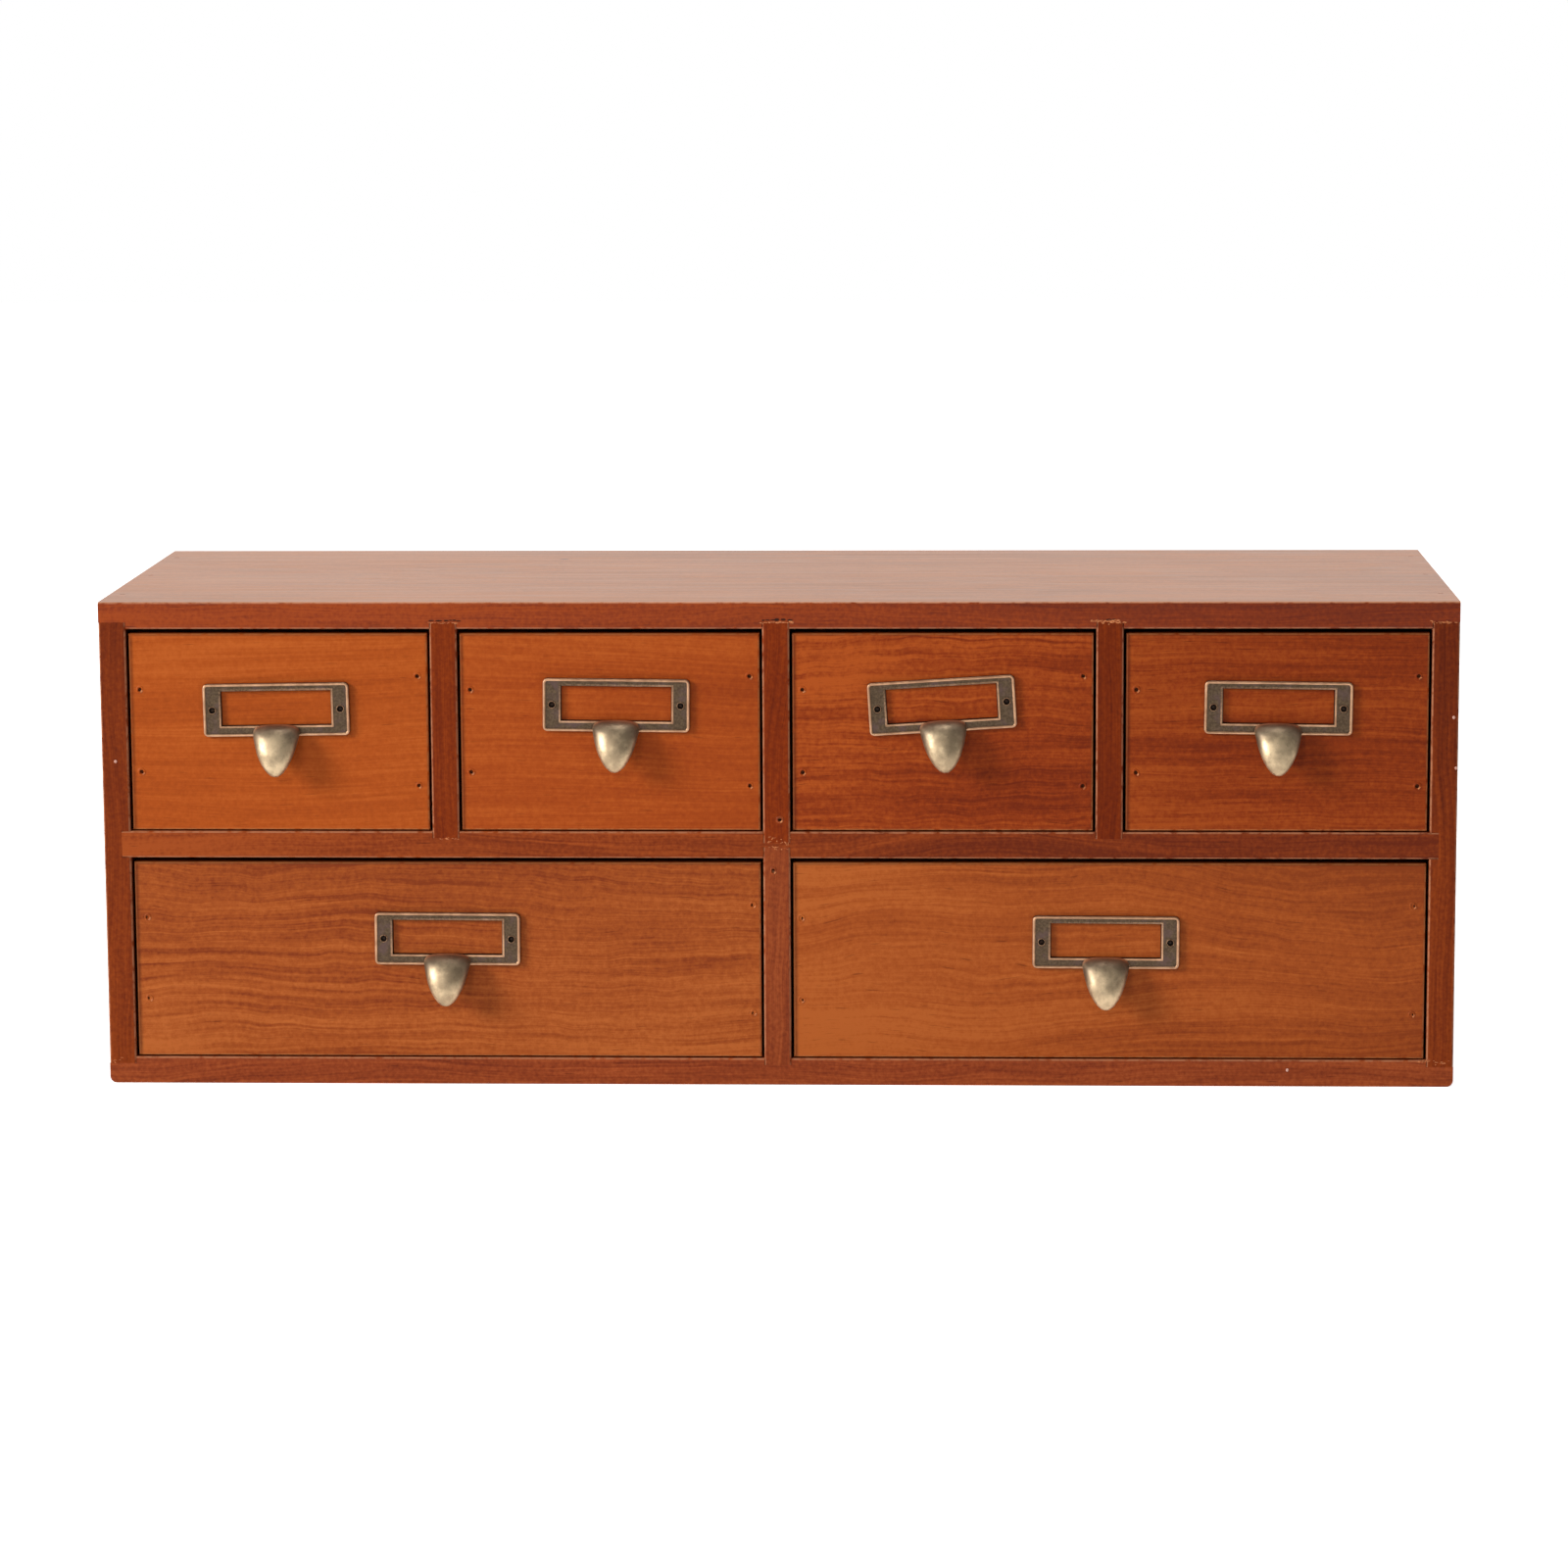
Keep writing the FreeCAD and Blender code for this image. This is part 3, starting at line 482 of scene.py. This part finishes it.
# The window's rim is lower on its top and left sides, so there it takes less of the coppery
# rubbed colour: painted shade on those sides.
WINDOW_RIM_SUNK_AND_SHADED = {"top": 0.18, "left": 0.14}  # how much lower it is on two of its sides
WINDOW_DRAFT = (0.984, 0.95)  # size of the window's back as a share of its front
OUTER_ROUNDING = 0.62
WINDOW_ROUNDING = 0.33
# The pin holes: a lip round a pit that narrows downwards.
PIN_X = 28.5
PIN_CELL_HALF = 2.0     # of the square that is cut out of the field for it
PIN_CELL_MARGIN = 0.12
LIP_RADIUS = 1.86
LIP_HEIGHT = 0.37
LIP_TAPER = 0.86
LIP_CREST = 0.10
PIT_DEPTH = 1.75
PIT_TAPER = 0.93
# Outline of a pin from the crown of its head to its point: radius and height.
PIN_OUTLINE = ((0, 0.95), (0.6, 0.87), (0.95, 0.68), (1.08, 0.45), (1.08, 0.38), (0.8, 0.34),
               (0.8, -8.4), (0.0, -8.9))
# Outline of the tongue from its tip upwards: height and half width.
TONGUE_OUTLINE = ((0.0, 0.0), (0.1, 0.85), (0.35, 1.6), (0.8, 2.4), (2.1, 3.85), (3.6, 5.0),
                  (5.2, 6.0), (7.6, 7.25), (10.2, 8.3), (12.8, 9.1), (15.3, 9.75),
                  (17.2, 10.2), (18.6, 10.4), (19.8, 10.2), (20.7, 9.65), (21.4, 8.6),
                  (21.85, 7.0), (22.1, 4.9), (22.2, 2.4), (22.2, 0.0))
TONGUE_TIP = Vector((0, -28.8, 10.8))
TONGUE_HEIGHT = 22.2
TONGUE_DEPTH = 0.68     # its bulge as a share of its half width
TONGUE_BEND = 1.8       # how late it leans outwards
TONGUE_ROOT = 1.2
TONGUE_WALL = 1.4


def faces_of(result):
    return [part for part in result["geom"] if isinstance(part, bmesh.types.BMFace)]


def corners_of(result):
    return [part for part in result["geom"] if isinstance(part, bmesh.types.BMVert)]


def inset(shape, face, width):
    """Narrow one face by a border of even width."""
    bmesh.ops.inset_region(shape, faces=[face], thickness=width, use_boundary=True,
                           use_even_offset=True)


def step(shape, face, height):
    """Extrude one face along Z and return it in its new place."""
    raised = bmesh.ops.extrude_face_region(shape, geom=[face])
    bmesh.ops.translate(shape, vec=(0, 0, height), verts=corners_of(raised))
    bmesh.ops.delete(shape, geom=[face], context="FACES_ONLY")
    return faces_of(raised)[0]


def lies_in_field(face):
    return all(abs(corner.co.z - FIELD) < 0.01 for corner in face.verts)


def label_plate(shape):
    """The rimmed plate with its window and its two pin holes."""
    bmesh.ops.create_grid(shape, x_segments=1, y_segments=1, size=1.0)
    bmesh.ops.scale(shape, vec=(PLATE_HALF.x, PLATE_HALF.y, 1), verts=shape.verts)
    bmesh.ops.bevel(shape, geom=shape.verts[:], offset=PLATE_CORNER, segments=5, profile=0.5,
                    affect="VERTICES", material=-1)
    bmesh.ops.translate(shape, vec=(0, 0, OUTER_RIM_TOP), verts=shape.verts)
    face = next(iter(shape.faces))
    inset(shape, face, OUTER_RIM_WIDTH)
    face = step(shape, face, FIELD - OUTER_RIM_TOP)
    inset(shape, face, FIELD_SLOPE)
    field = face.verts[:]
    wide = (WINDOW_HALF.x + WINDOW_BORDER) / max(corner.co.x for corner in field)
    high = (WINDOW_HALF.y + WINDOW_BORDER) / max(corner.co.y for corner in field)
    bmesh.ops.scale(shape, vec=(wide, high, 1), verts=field)
    bmesh.ops.translate(shape, vec=(0, WINDOW_RAISE, 0), verts=field)
    face = step(shape, face, WINDOW_RIM_TOP - FIELD)
    inset(shape, face, WINDOW_RIM_WIDTH)
    for corner in shape.verts:
        if abs(corner.co.z - WINDOW_RIM_TOP) < 0.01:
            corner.co.z -= (WINDOW_RIM_SUNK_AND_SHADED["top"] * (corner.co.y > WINDOW_RAISE)
                            + WINDOW_RIM_SUNK_AND_SHADED["left"] * (corner.co.x < 0))
    cut_window(shape, face)
    for hand in (-1, 1):
        drill_pin_hole(shape, hand * PIN_X)
    round_rims(shape)


def cut_window(shape, face):
    """Sink the face of the window, and give the plate its sides and its back."""
    face = step(shape, face, -WINDOW_RIM_TOP)
    bmesh.ops.scale(shape, vec=(*WINDOW_DRAFT, 1), verts=face.verts,
                    space=Matrix.Translation((0, -WINDOW_RAISE, 0)))
    window_back = face.edges[:]
    shape.faces.remove(face)
    outer = [edge for edge in shape.edges if edge.is_boundary and edge.verts[0].co.z > FIELD]
    skirt = bmesh.ops.extrude_edge_only(shape, edges=outer)
    bmesh.ops.translate(shape, vec=(0, 0, -OUTER_RIM_TOP), verts=corners_of(skirt))
    plate_back = [part for part in skirt["geom"] if isinstance(part, bmesh.types.BMEdge)
                  and all(corner.co.z < 0.1 for corner in part.verts)]
    bmesh.ops.bridge_loops(shape, edges=window_back + plate_back)


def round_rims(shape):
    """Ease the edges of the outer rim and of the window's rim."""
    rims = [edge for edge in shape.edges
            if all(corner.co.z > FIELD + 0.002 for corner in edge.verts)
            and edge.calc_face_angle(0) > 0.8]
    outer_rims = [edge for edge in rims
                  if all(corner.co.z > OUTER_RIM_TOP - 0.02 for corner in edge.verts)]
    window_rims = [edge for edge in rims if edge not in outer_rims]
    for edges, rounding in ((outer_rims, OUTER_ROUNDING), (window_rims, WINDOW_ROUNDING)):
        bmesh.ops.bevel(shape, geom=edges, offset=rounding, segments=4, profile=0.5,
                        affect="EDGES", material=-1, clamp_overlap=True)


def drill_pin_hole(shape, x):
    """A round pit with a raised lip in the plate's low field."""
    for direction, reach in ((Vector((1, 0, 0)), x), (Vector((0, 1, 0)), 0.0)):
        for side in (-1, 1):
            low = [face for face in shape.faces
                   if lies_in_field(face) and face.calc_center_median().x * x > 0]
            parts = dict.fromkeys(low)
            for face in low:
                parts.update(dict.fromkeys(face.edges[:] + face.verts[:]))
            bmesh.ops.bisect_plane(shape, geom=list(parts), dist=1e-5, plane_no=direction,
                                   plane_co=direction * (reach + side * PIN_CELL_HALF))
    middle = Vector((x, 0, FIELD))
    cell = min((face for face in shape.faces
                if abs(face.normal.z) > 0.9 and lies_in_field(face)),
               key=lambda face: (face.calc_center_median() - middle).length)
    inset(shape, cell, PIN_CELL_MARGIN)
    bmesh.ops.bisect_edges(shape, edges=cell.edges[:], cuts=3)
    for corner in cell.verts:
        corner.co = middle + (corner.co - middle).normalized() * LIP_RADIUS
    about_hole = Matrix.Translation(-middle)
    cell = step(shape, cell, LIP_HEIGHT)
    bmesh.ops.scale(shape, vec=(LIP_TAPER, LIP_TAPER, 1), verts=cell.verts, space=about_hole)
    inset(shape, cell, LIP_CREST)
    cell = step(shape, cell, -PIT_DEPTH)
    bmesh.ops.scale(shape, vec=(PIT_TAPER, PIT_TAPER, 1), verts=cell.verts, space=about_hole)


def finger_tongue(shape):
    """The hollow hood that a finger pulls at, rooted in the plate under the window."""
    chain = [shape.verts.new((half_width, height, 0))
             for height, half_width in TONGUE_OUTLINE]
    edges = [shape.edges.new(pair) for pair in zip(chain, chain[1:])]
    bmesh.ops.spin(shape, geom=chain + edges, cent=(0, 0, 0), axis=(0, -1, 0),
                   angle=math.pi, steps=28)
    bmesh.ops.remove_doubles(shape, verts=shape.verts, dist=0.01)
    for corner in shape.verts:
        rise = min(1.0, max(0.0, corner.co.y / TONGUE_HEIGHT))
        lean = TONGUE_TIP.z * (1.0 - rise ** TONGUE_BEND)
        corner.co = (corner.co.x, TONGUE_TIP.y + corner.co.y,
                     lean + TONGUE_DEPTH * corner.co.z)
    bmesh.ops.bisect_plane(shape, geom=shape.verts[:] + shape.edges[:] + shape.faces[:],
                           dist=1e-4, plane_co=(0, 0, TONGUE_ROOT), plane_no=(0, 0, 1),
                           clear_inner=True)
    bmesh.ops.recalc_face_normals(shape, faces=shape.faces)
    outward = max(shape.faces, key=lambda face: face.calc_center_median().z)
    if outward.normal.z < 0:
        bmesh.ops.reverse_faces(shape, faces=shape.faces)
    bmesh.ops.solidify(shape, geom=shape.faces[:], thickness=TONGUE_WALL)


def headed_pin(shape, x):
    """A small domed pin head with its shank, seated in the pit of the plate."""
    chain = [shape.verts.new((x + radius, 0, height)) for radius, height in PIN_OUTLINE]
    edges = [shape.edges.new(pair) for pair in zip(chain, chain[1:])]
    bmesh.ops.spin(shape, geom=chain + edges, cent=(x, 0, 0), axis=(0, 0, 1),
                   angle=2 * math.pi, steps=16, use_merge=True)
    bmesh.ops.remove_doubles(shape, verts=shape.verts, dist=0.01)
    bmesh.ops.recalc_face_normals(shape, faces=shape.faces)


def finished_mesh(name, shape, materials, place=Matrix.Identity(4), sharp=35):
    """Turn a shape in millimetres into an object at the origin.

    Its edges are smooth, except where the surface turns by more than sharp degrees.
    """
    bmesh.ops.scale(shape, vec=(MM, MM, MM), verts=shape.verts)
    bmesh.ops.transform(shape, matrix=place, verts=shape.verts)
    mesh = bpy.data.meshes.new(name)
    shape.to_mesh(mesh)
    shape.free()
    for material in materials:
        mesh.materials.append(material)
    mesh.shade_smooth()
    mesh.set_sharp_from_angle(angle=math.radians(sharp))
    made = bpy.data.objects.new(name, mesh)
    bpy.context.scene.collection.objects.link(made)
    return made


def pull_place(number):
    x, z, tilt = PULLS[number]
    turned = Matrix.Rotation(-math.radians(tilt), 4, "Y")
    return Matrix.Translation((x * MM, DRAWER_FRONT, z * MM)) @ turned @ UPRIGHT


def label_holder(number):
    """One cast label holder in place on its drawer, with its two pins."""
    drawer = f"drawer_{number}"
    shape = bmesh.new()
    finger_tongue(shape)
    plate = bmesh.new()
    label_plate(plate)
    carrier = bpy.data.meshes.new("carrier")
    plate.to_mesh(carrier)
    plate.free()
    shape.from_mesh(carrier)
    bpy.data.meshes.remove(carrier)
    holder = finished_mesh(f"{drawer}_label_holder", shape, [brass], pull_place(number), 40)
    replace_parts(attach(holder, drawer), f"{drawer}_pull")
    shape = bmesh.new()
    for hand in (-1, 1):
        headed_pin(shape, hand * PIN_X)
    pins = finished_mesh(f"{drawer}_label_pins", shape, [iron], pull_place(number))
    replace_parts(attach(pins, drawer), f"{drawer}_pull_pins")


# ---------------------------------------------------------------- dents, crumbs and specks

DETAIL_SHARP = 60       # in degrees
BRAD_HEIGHTS = {
    # drawer row: half spacing, heights at the left and at the right
    "upper": (61.8, (141.1, 178.0), (135.1, 184.0)),
    "lower": (135.3, (38.6, 75.5), (32.6, 81.5)),
}
BAY_CENTRES = {1: -220.5, 2: -73.5, 3: 73.5, 4: 220.5, 5: -146.0, 6: 146.0}
SKEW_NAILS = ((1.5, 120.0), (-1.5, 97.0))
# Section of the lip round a dent: radius and height.
LIP_OUTLINE = ((0.84, -0.02), (0.97, 0.10), (1.13, 0.20), (1.28, 0.24), (1.46, 0.17),
               (1.72, 0.04), (1.90, -0.03), (1.25, -0.06))
# The lip's side toward the lower right, where the lamps light it, is painted in a pale grain
# colour within this reach and past this cosine: a painted highlight.
LIT_SIDE_REACH = 1.5        # the lip is torn within this distance of the nail,
LIT_SIDE_COSINE = 0.85      # where its angle to the lower right has a greater cosine than this
SPECKS = ((-293.9, 145.8), (297.8, 165.8), (299.1, 143.3), (226.6, 7.4))
# Torn grain along the joints: left end, right end, height, how far it strays up and down,
# crumbs per millimetre and their size.
JOINT_CRUMBS = ((-153.4, -140.6, 207.7, 0.16, 1.7, 0.9), (-6.8, 7.4, 207.9, 0.24, 2.1, 1.15),
                (138.6, 154.0, 208.4, 0.45, 2.6, 1.25), (287.6, 299.2, 207.9, 0.24, 2.0, 1.15),
                (-152.5, -141.5, 111.2, 0.30, 1.0, 0.8), (-6.5, 6.5, 110.6, 1.10, 1.0, 1.15),
                (-4.0, 6.0, 107.0, 0.80, 0.8, 1.1), (284.6, 289.6, 11.9, 0.45, 3.0, 1.2),
                (289.5, 298.6, 11.2, 0.60, 1.1, 1.0), (-298.5, -293.0, 9.6, 0.70, 1.1, 0.9))
# Dark patches of painted shade over the gaping joints above the dividers: left end, right end,
# height, least and most half height.
OPEN_JOINTS = ((-153.4, -140.6, 208.75, 0.24, 0.40), (-6.2, 0.5, 208.95, 0.22, 0.36),
               (-0.5, 6.8, 209.05, 0.45, 0.68), (145.0, 148.5, 208.9, 0.30, 0.45))
TOP_NAIL_X = 294.0
TOP_NAIL_ROWS = (-75.0, 0.0, 75.0)
PUTTY_RADII = (1.12, 1.06)  # at its bottom and at its top
PUTTY_DEPTH = 0.9
PUTTY_MIDDLE = 216.5


def dent_lip(shape, x, z, chance):
    """The low ring of wood that a driven nail raises round its head, painted pale on its
    lower-right side as a painted highlight.
    """
    first_face = len(shape.faces)
    chain = [shape.verts.new((radius, 0, height)) for radius, height in LIP_OUTLINE]
    edges = [shape.edges.new(pair) for pair in zip(chain, chain[1:] + chain[:1])]
    before = len(shape.verts) - len(chain)
    bmesh.ops.spin(shape, geom=chain + edges, cent=(0, 0, 0), axis=(0, 0, 1),
                   angle=2 * math.pi, steps=18, use_merge=True)
    middle = Vector((x, z, 0))
    stretch = Vector((chance.uniform(0.85, 1.1), chance.uniform(0.9, 1.25), 1))
    turn = Matrix.Rotation(chance.uniform(-0.8, 0.8), 4, "Z")
    for corner in shape.verts[before:]:
        ragged = 1.0 + chance.uniform(-0.07, 0.07)
        corner.co = turn @ Vector((corner.co.x * stretch.x * ragged,
                                   corner.co.y * stretch.y * ragged,
                                   corner.co.z * chance.uniform(0.75, 1.25)))
        corner.co += middle
    shape.faces.ensure_lookup_table()
    for face in shape.faces[first_face:]:
        away = face.calc_center_median() - middle
        reach = math.hypot(away.x, away.y)
        # Faces on the lip's lit lower-right side take the pale material: a painted highlight.
        lit_side = away.x - away.y > LIT_SIDE_COSINE * reach * math.sqrt(2) and reach < LIT_SIDE_REACH
        face.material_index = 1 if lit_side else 0


def on_front(name, shape, materials, plane):
    """Finish a small shape that stands on the front at a plane of Y."""
    place = Matrix.Translation((0, plane, 0)) @ UPRIGHT
    return finished_mesh(name, shape, materials, place, DETAIL_SHARP)


def dent_lips(name, wood, plane, places, chance):
    """The lips at some places of a front, in the stain of the node that they rise from, each
    with a painted highlight on one side.
    """
    shape = bmesh.new()
    for x, z in places:
        dent_lip(shape, x, z, chance)
    bmesh.ops.recalc_face_normals(shape, faces=shape.faces)
    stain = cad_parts[wood].data.materials[0]
    return on_front(name, shape, [stain, torn_grain_and_highlight], plane)


def dress_dents(chance):
    """Lips round the dents of the sunk brads and nails, each with a painted highlight on one
    side.
    """
    for number, centre in BAY_CENTRES.items():
        drawer = f"drawer_{number}"
        half, left, right = BRAD_HEIGHTS["upper" if number < 5 else "lower"]
        places = [(centre - half, height) for height in left]
        places += [(centre + half, height) for height in right]
        lips = dent_lips(f"{drawer}_brad_dents", f"{drawer}_front", DRAWER_FRONT, places,
                         chance)
        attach(lips, drawer)
    lips = dent_lips("divider_nail_dents", "lower_divider", CASE_FRONT, SKEW_NAILS, chance)
    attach(lips, "case")


def pebble(shape, subdivisions, size, place, turn=None):
    """A ball stretched to the given half sizes and turned in the plane of the front."""
    corners = bmesh.ops.create_icosphere(shape, subdivisions=subdivisions, radius=1.0)["verts"]
    bmesh.ops.scale(shape, vec=size, verts=corners)
    if turn is not None:
        bmesh.ops.rotate(shape, cent=(0, 0, 0), matrix=Matrix.Rotation(turn, 3, "Z"),
                         verts=corners)
    bmesh.ops.translate(shape, vec=place, verts=corners)


def strew_crumbs(chance):
    """Torn grain along the housed joints."""
    shape = bmesh.new()
    for left, right, height, stray, density, scale in JOINT_CRUMBS:
        for _ in range(int((right - left) * density)):
            size = scale * Vector((chance.uniform(0.30, 0.95), chance.uniform(0.14, 0.27),
                                   chance.uniform(0.08, 0.20)))
            place = (chance.uniform(left, right), height + chance.gauss(0, stray), 0)
            pebble(shape, 1, size, place, chance.gauss(0, 0.5 * stray))
    crumbs = on_front("joint_crumbs", shape, [torn_grain_and_highlight], CASE_FRONT)
    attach(crumbs, "case")


def open_joints(chance):
    """Flat dark patches laid over the gaping joints above the dividers: painted shade of the
    gaps.
    """
    shape = bmesh.new()
    for left, right, height, least, most in OPEN_JOINTS:
        x = left
        while x < right:
            length = chance.uniform(1.6, 3.6)
            size = (length / 2, chance.uniform(least, most), 0.05)
            pebble(shape, 2, size, (x + length / 2, height + chance.gauss(0, 0.12), 0))
            x += length * chance.uniform(0.8, 1.25)
    gaps = on_front("joint_openings", shape, [painted_gap_shade], CASE_FRONT)
    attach(gaps, "case")


def chip_case():
    """A few pale specks where the stain is knocked off."""
    shape = bmesh.new()
    for x, z in SPECKS:
        pebble(shape, 2, (0.65, 0.75, 0.12), (x, z, 0))
    specks = on_front("pale_specks", shape, [pale_chip], CASE_FRONT)
    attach(specks, "case")


def fill_top_nails():
    """Putty in the mouths of the nails in the top, a little below its surface."""
    shape = bmesh.new()
    for hand in (-1, 1):
        for y in TOP_NAIL_ROWS:
            plug = bmesh.ops.create_cone(shape, cap_ends=True, segments=20,
                                         radius1=PUTTY_RADII[0], radius2=PUTTY_RADII[1],
                                         depth=PUTTY_DEPTH)["verts"]
            bmesh.ops.translate(shape, vec=(hand * TOP_NAIL_X, y, PUTTY_MIDDLE), verts=plug)
    upper_rims = [edge for edge in shape.edges
                  if all(corner.co.z > PUTTY_MIDDLE for corner in edge.verts)]
    bmesh.ops.bevel(shape, geom=upper_rims, offset=0.12, segments=2, profile=0.5,
                    affect="EDGES", material=-1)
    fillers = finished_mesh("top_nail_putty", shape,
                            [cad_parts["top_board"].data.materials[0]])
    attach(fillers, "case")


# ---------------------------------------------------------------- camera, lamps and stage

CAMERA_PLACE = (0.08826, -2.22395, 0.46977)
CAMERA_TURN = (2.294, -8.945, -0.305)  # yaw, pitch and roll in degrees
SENSOR_WIDTH = 36.0     # in millimetres, as is the focal length
FOCAL_LENGTH = 111.4425
LAMPS = {
    # name: place, target, diameter in metres, power in watts
    "key": ((-4.3, -2.5, 2.05), (0.0, -0.1, 0.1), 1.8, 234.0),
    "front_fill": ((-1.3, -4.2, 2.0), (0.0, -0.1, 0.1), 0.9, 30.0),
    "overhead": ((0.0, 0.35, 2.4), (0.0, 0.1, 0.2), 1.2, 26.5),
}
AIR_LEVEL = 0.22
FLOOR_SIZE = 6.0
FLOOR_GLOW = 0.80       # brings the lit paper up to white


def aim_camera():
    yaw, pitch, roll = (math.radians(angle) for angle in CAMERA_TURN)
    camera = bpy.data.objects.new("camera", bpy.data.cameras.new("camera"))
    bpy.context.scene.collection.objects.link(camera)
    level = Matrix.Rotation(yaw, 4, "Z") @ Matrix.Rotation(pitch, 4, "X")
    right, forward, up = (level.to_3x3().col[axis] for axis in range(3))
    rolled_right = math.cos(roll) * right + math.sin(roll) * up
    rolled_up = -math.sin(roll) * right + math.cos(roll) * up
    turn = Matrix((rolled_right, rolled_up, -forward)).transposed().to_4x4()
    camera.matrix_world = Matrix.Translation(CAMERA_PLACE) @ turn
    camera.data.sensor_width = SENSOR_WIDTH
    camera.data.lens = FOCAL_LENGTH
    camera.data.clip_end = 50.0
    bpy.context.scene.camera = camera


def hang_lamps():
    for name, (place, target, size, power) in LAMPS.items():
        light = bpy.data.lights.new(name, "AREA")
        light.shape = "DISK"
        light.size = size
        light.energy = power
        made = bpy.data.objects.new(name, light)
        bpy.context.scene.collection.objects.link(made)
        made.location = place
        away = Vector(target) - Vector(place)
        made.rotation_euler = away.to_track_quat("-Z", "Y").to_euler()


def ray_is(tree, *kinds):
    """1 for a ray of any of these kinds, else 0."""
    path = node(tree, "ShaderNodeLightPath").outputs
    found = path[f"Is {kinds[0]} Ray"]
    for kind in kinds[1:]:
        found = math_node(tree, "MAXIMUM", found, path[f"Is {kind} Ray"])
    return found


def fill_room():
    """White air for the camera.

    Reflections see it bright behind the cabinet and dim in front, and what it lights gets the
    same dim light from all round.
    """
    world = bpy.data.worlds.new("room")
    world.use_nodes = True
    tree = world.node_tree
    tree.nodes.clear()
    toward = split(tree, node(tree, "ShaderNodeTexCoord").outputs["Generated"])
    reflected = ramp(tree, toward["Y"], -0.40, 0.30, 0.14, 1.0)
    level = node(tree, "ShaderNodeMix", {0: ray_is(tree, "Glossy", "Transmission"),
                                         2: AIR_LEVEL, 3: reflected}).outputs[0]
    level = math_node(tree, "MAXIMUM", level, ray_is(tree, "Camera"))
    air = node(tree, "ShaderNodeBackground", {"Color": colour(1, 1, 1), "Strength": level})
    node(tree, "ShaderNodeOutputWorld", {0: air.outputs[0]})
    bpy.context.scene.world = world


def lay_floor():
    """White paper that glows where it is seen or reflected, so that it runs into the air."""
    mesh = bpy.data.meshes.new("floor")
    shape = bmesh.new()
    bmesh.ops.create_grid(shape, x_segments=1, y_segments=1, size=FLOOR_SIZE)
    shape.to_mesh(mesh)
    shape.free()
    made = bpy.data.objects.new("floor", mesh)
    bpy.context.scene.collection.objects.link(made)
    material, tree = new_material("white_floor")
    paper = node(tree, "ShaderNodeBsdfDiffuse", {"Color": colour(0.9, 0.9, 0.9)})
    seen = ray_is(tree, "Camera", "Glossy", "Transmission")
    glow = node(tree, "ShaderNodeEmission",
                {"Color": colour(1, 1, 1), "Strength": product(tree, seen, FLOOR_GLOW)})
    both = node(tree, "ShaderNodeAddShader", {0: paper.outputs[0], 1: glow.outputs[0]})
    node(tree, "ShaderNodeOutputMaterial", {0: both.outputs[0]})
    mesh.materials.append(material)


# ---------------------------------------------------------------- the whole scene

brass = aged_brass()
iron = dark_iron()
stained_over = rough_wood("stained_over_iron", (0.050, 0.012, 0.003), (0.14, 0.035, 0.009))
# Pale grain for the crumbs along the joints, and also the painted highlight on the lips round
# the dents.
torn_grain_and_highlight = rough_wood("torn_grain_and_highlight", (0.34, 0.085, 0.028), (0.66, 0.25, 0.095))
# Painted shade for the gaps of the open joints.
painted_gap_shade = rough_wood("painted_gap_shade", (0.010, 0.004, 0.002), (0.045, 0.012, 0.005))
pale_chip = rough_wood("pale_chip", (0.52, 0.24, 0.17), (0.78, 0.50, 0.40))
dress_case()
dress_drawers()
for drawer_number in PULLS:
    label_holder(drawer_number)
dress_dents(random.Random(5))
joint_chance = random.Random(8)
strew_crumbs(joint_chance)
open_joints(joint_chance)
chip_case()
fill_top_nails()
aim_camera()
fill_room()
hang_lamps()
lay_floor()
bpy.context.scene.view_settings.view_transform = "Standard"
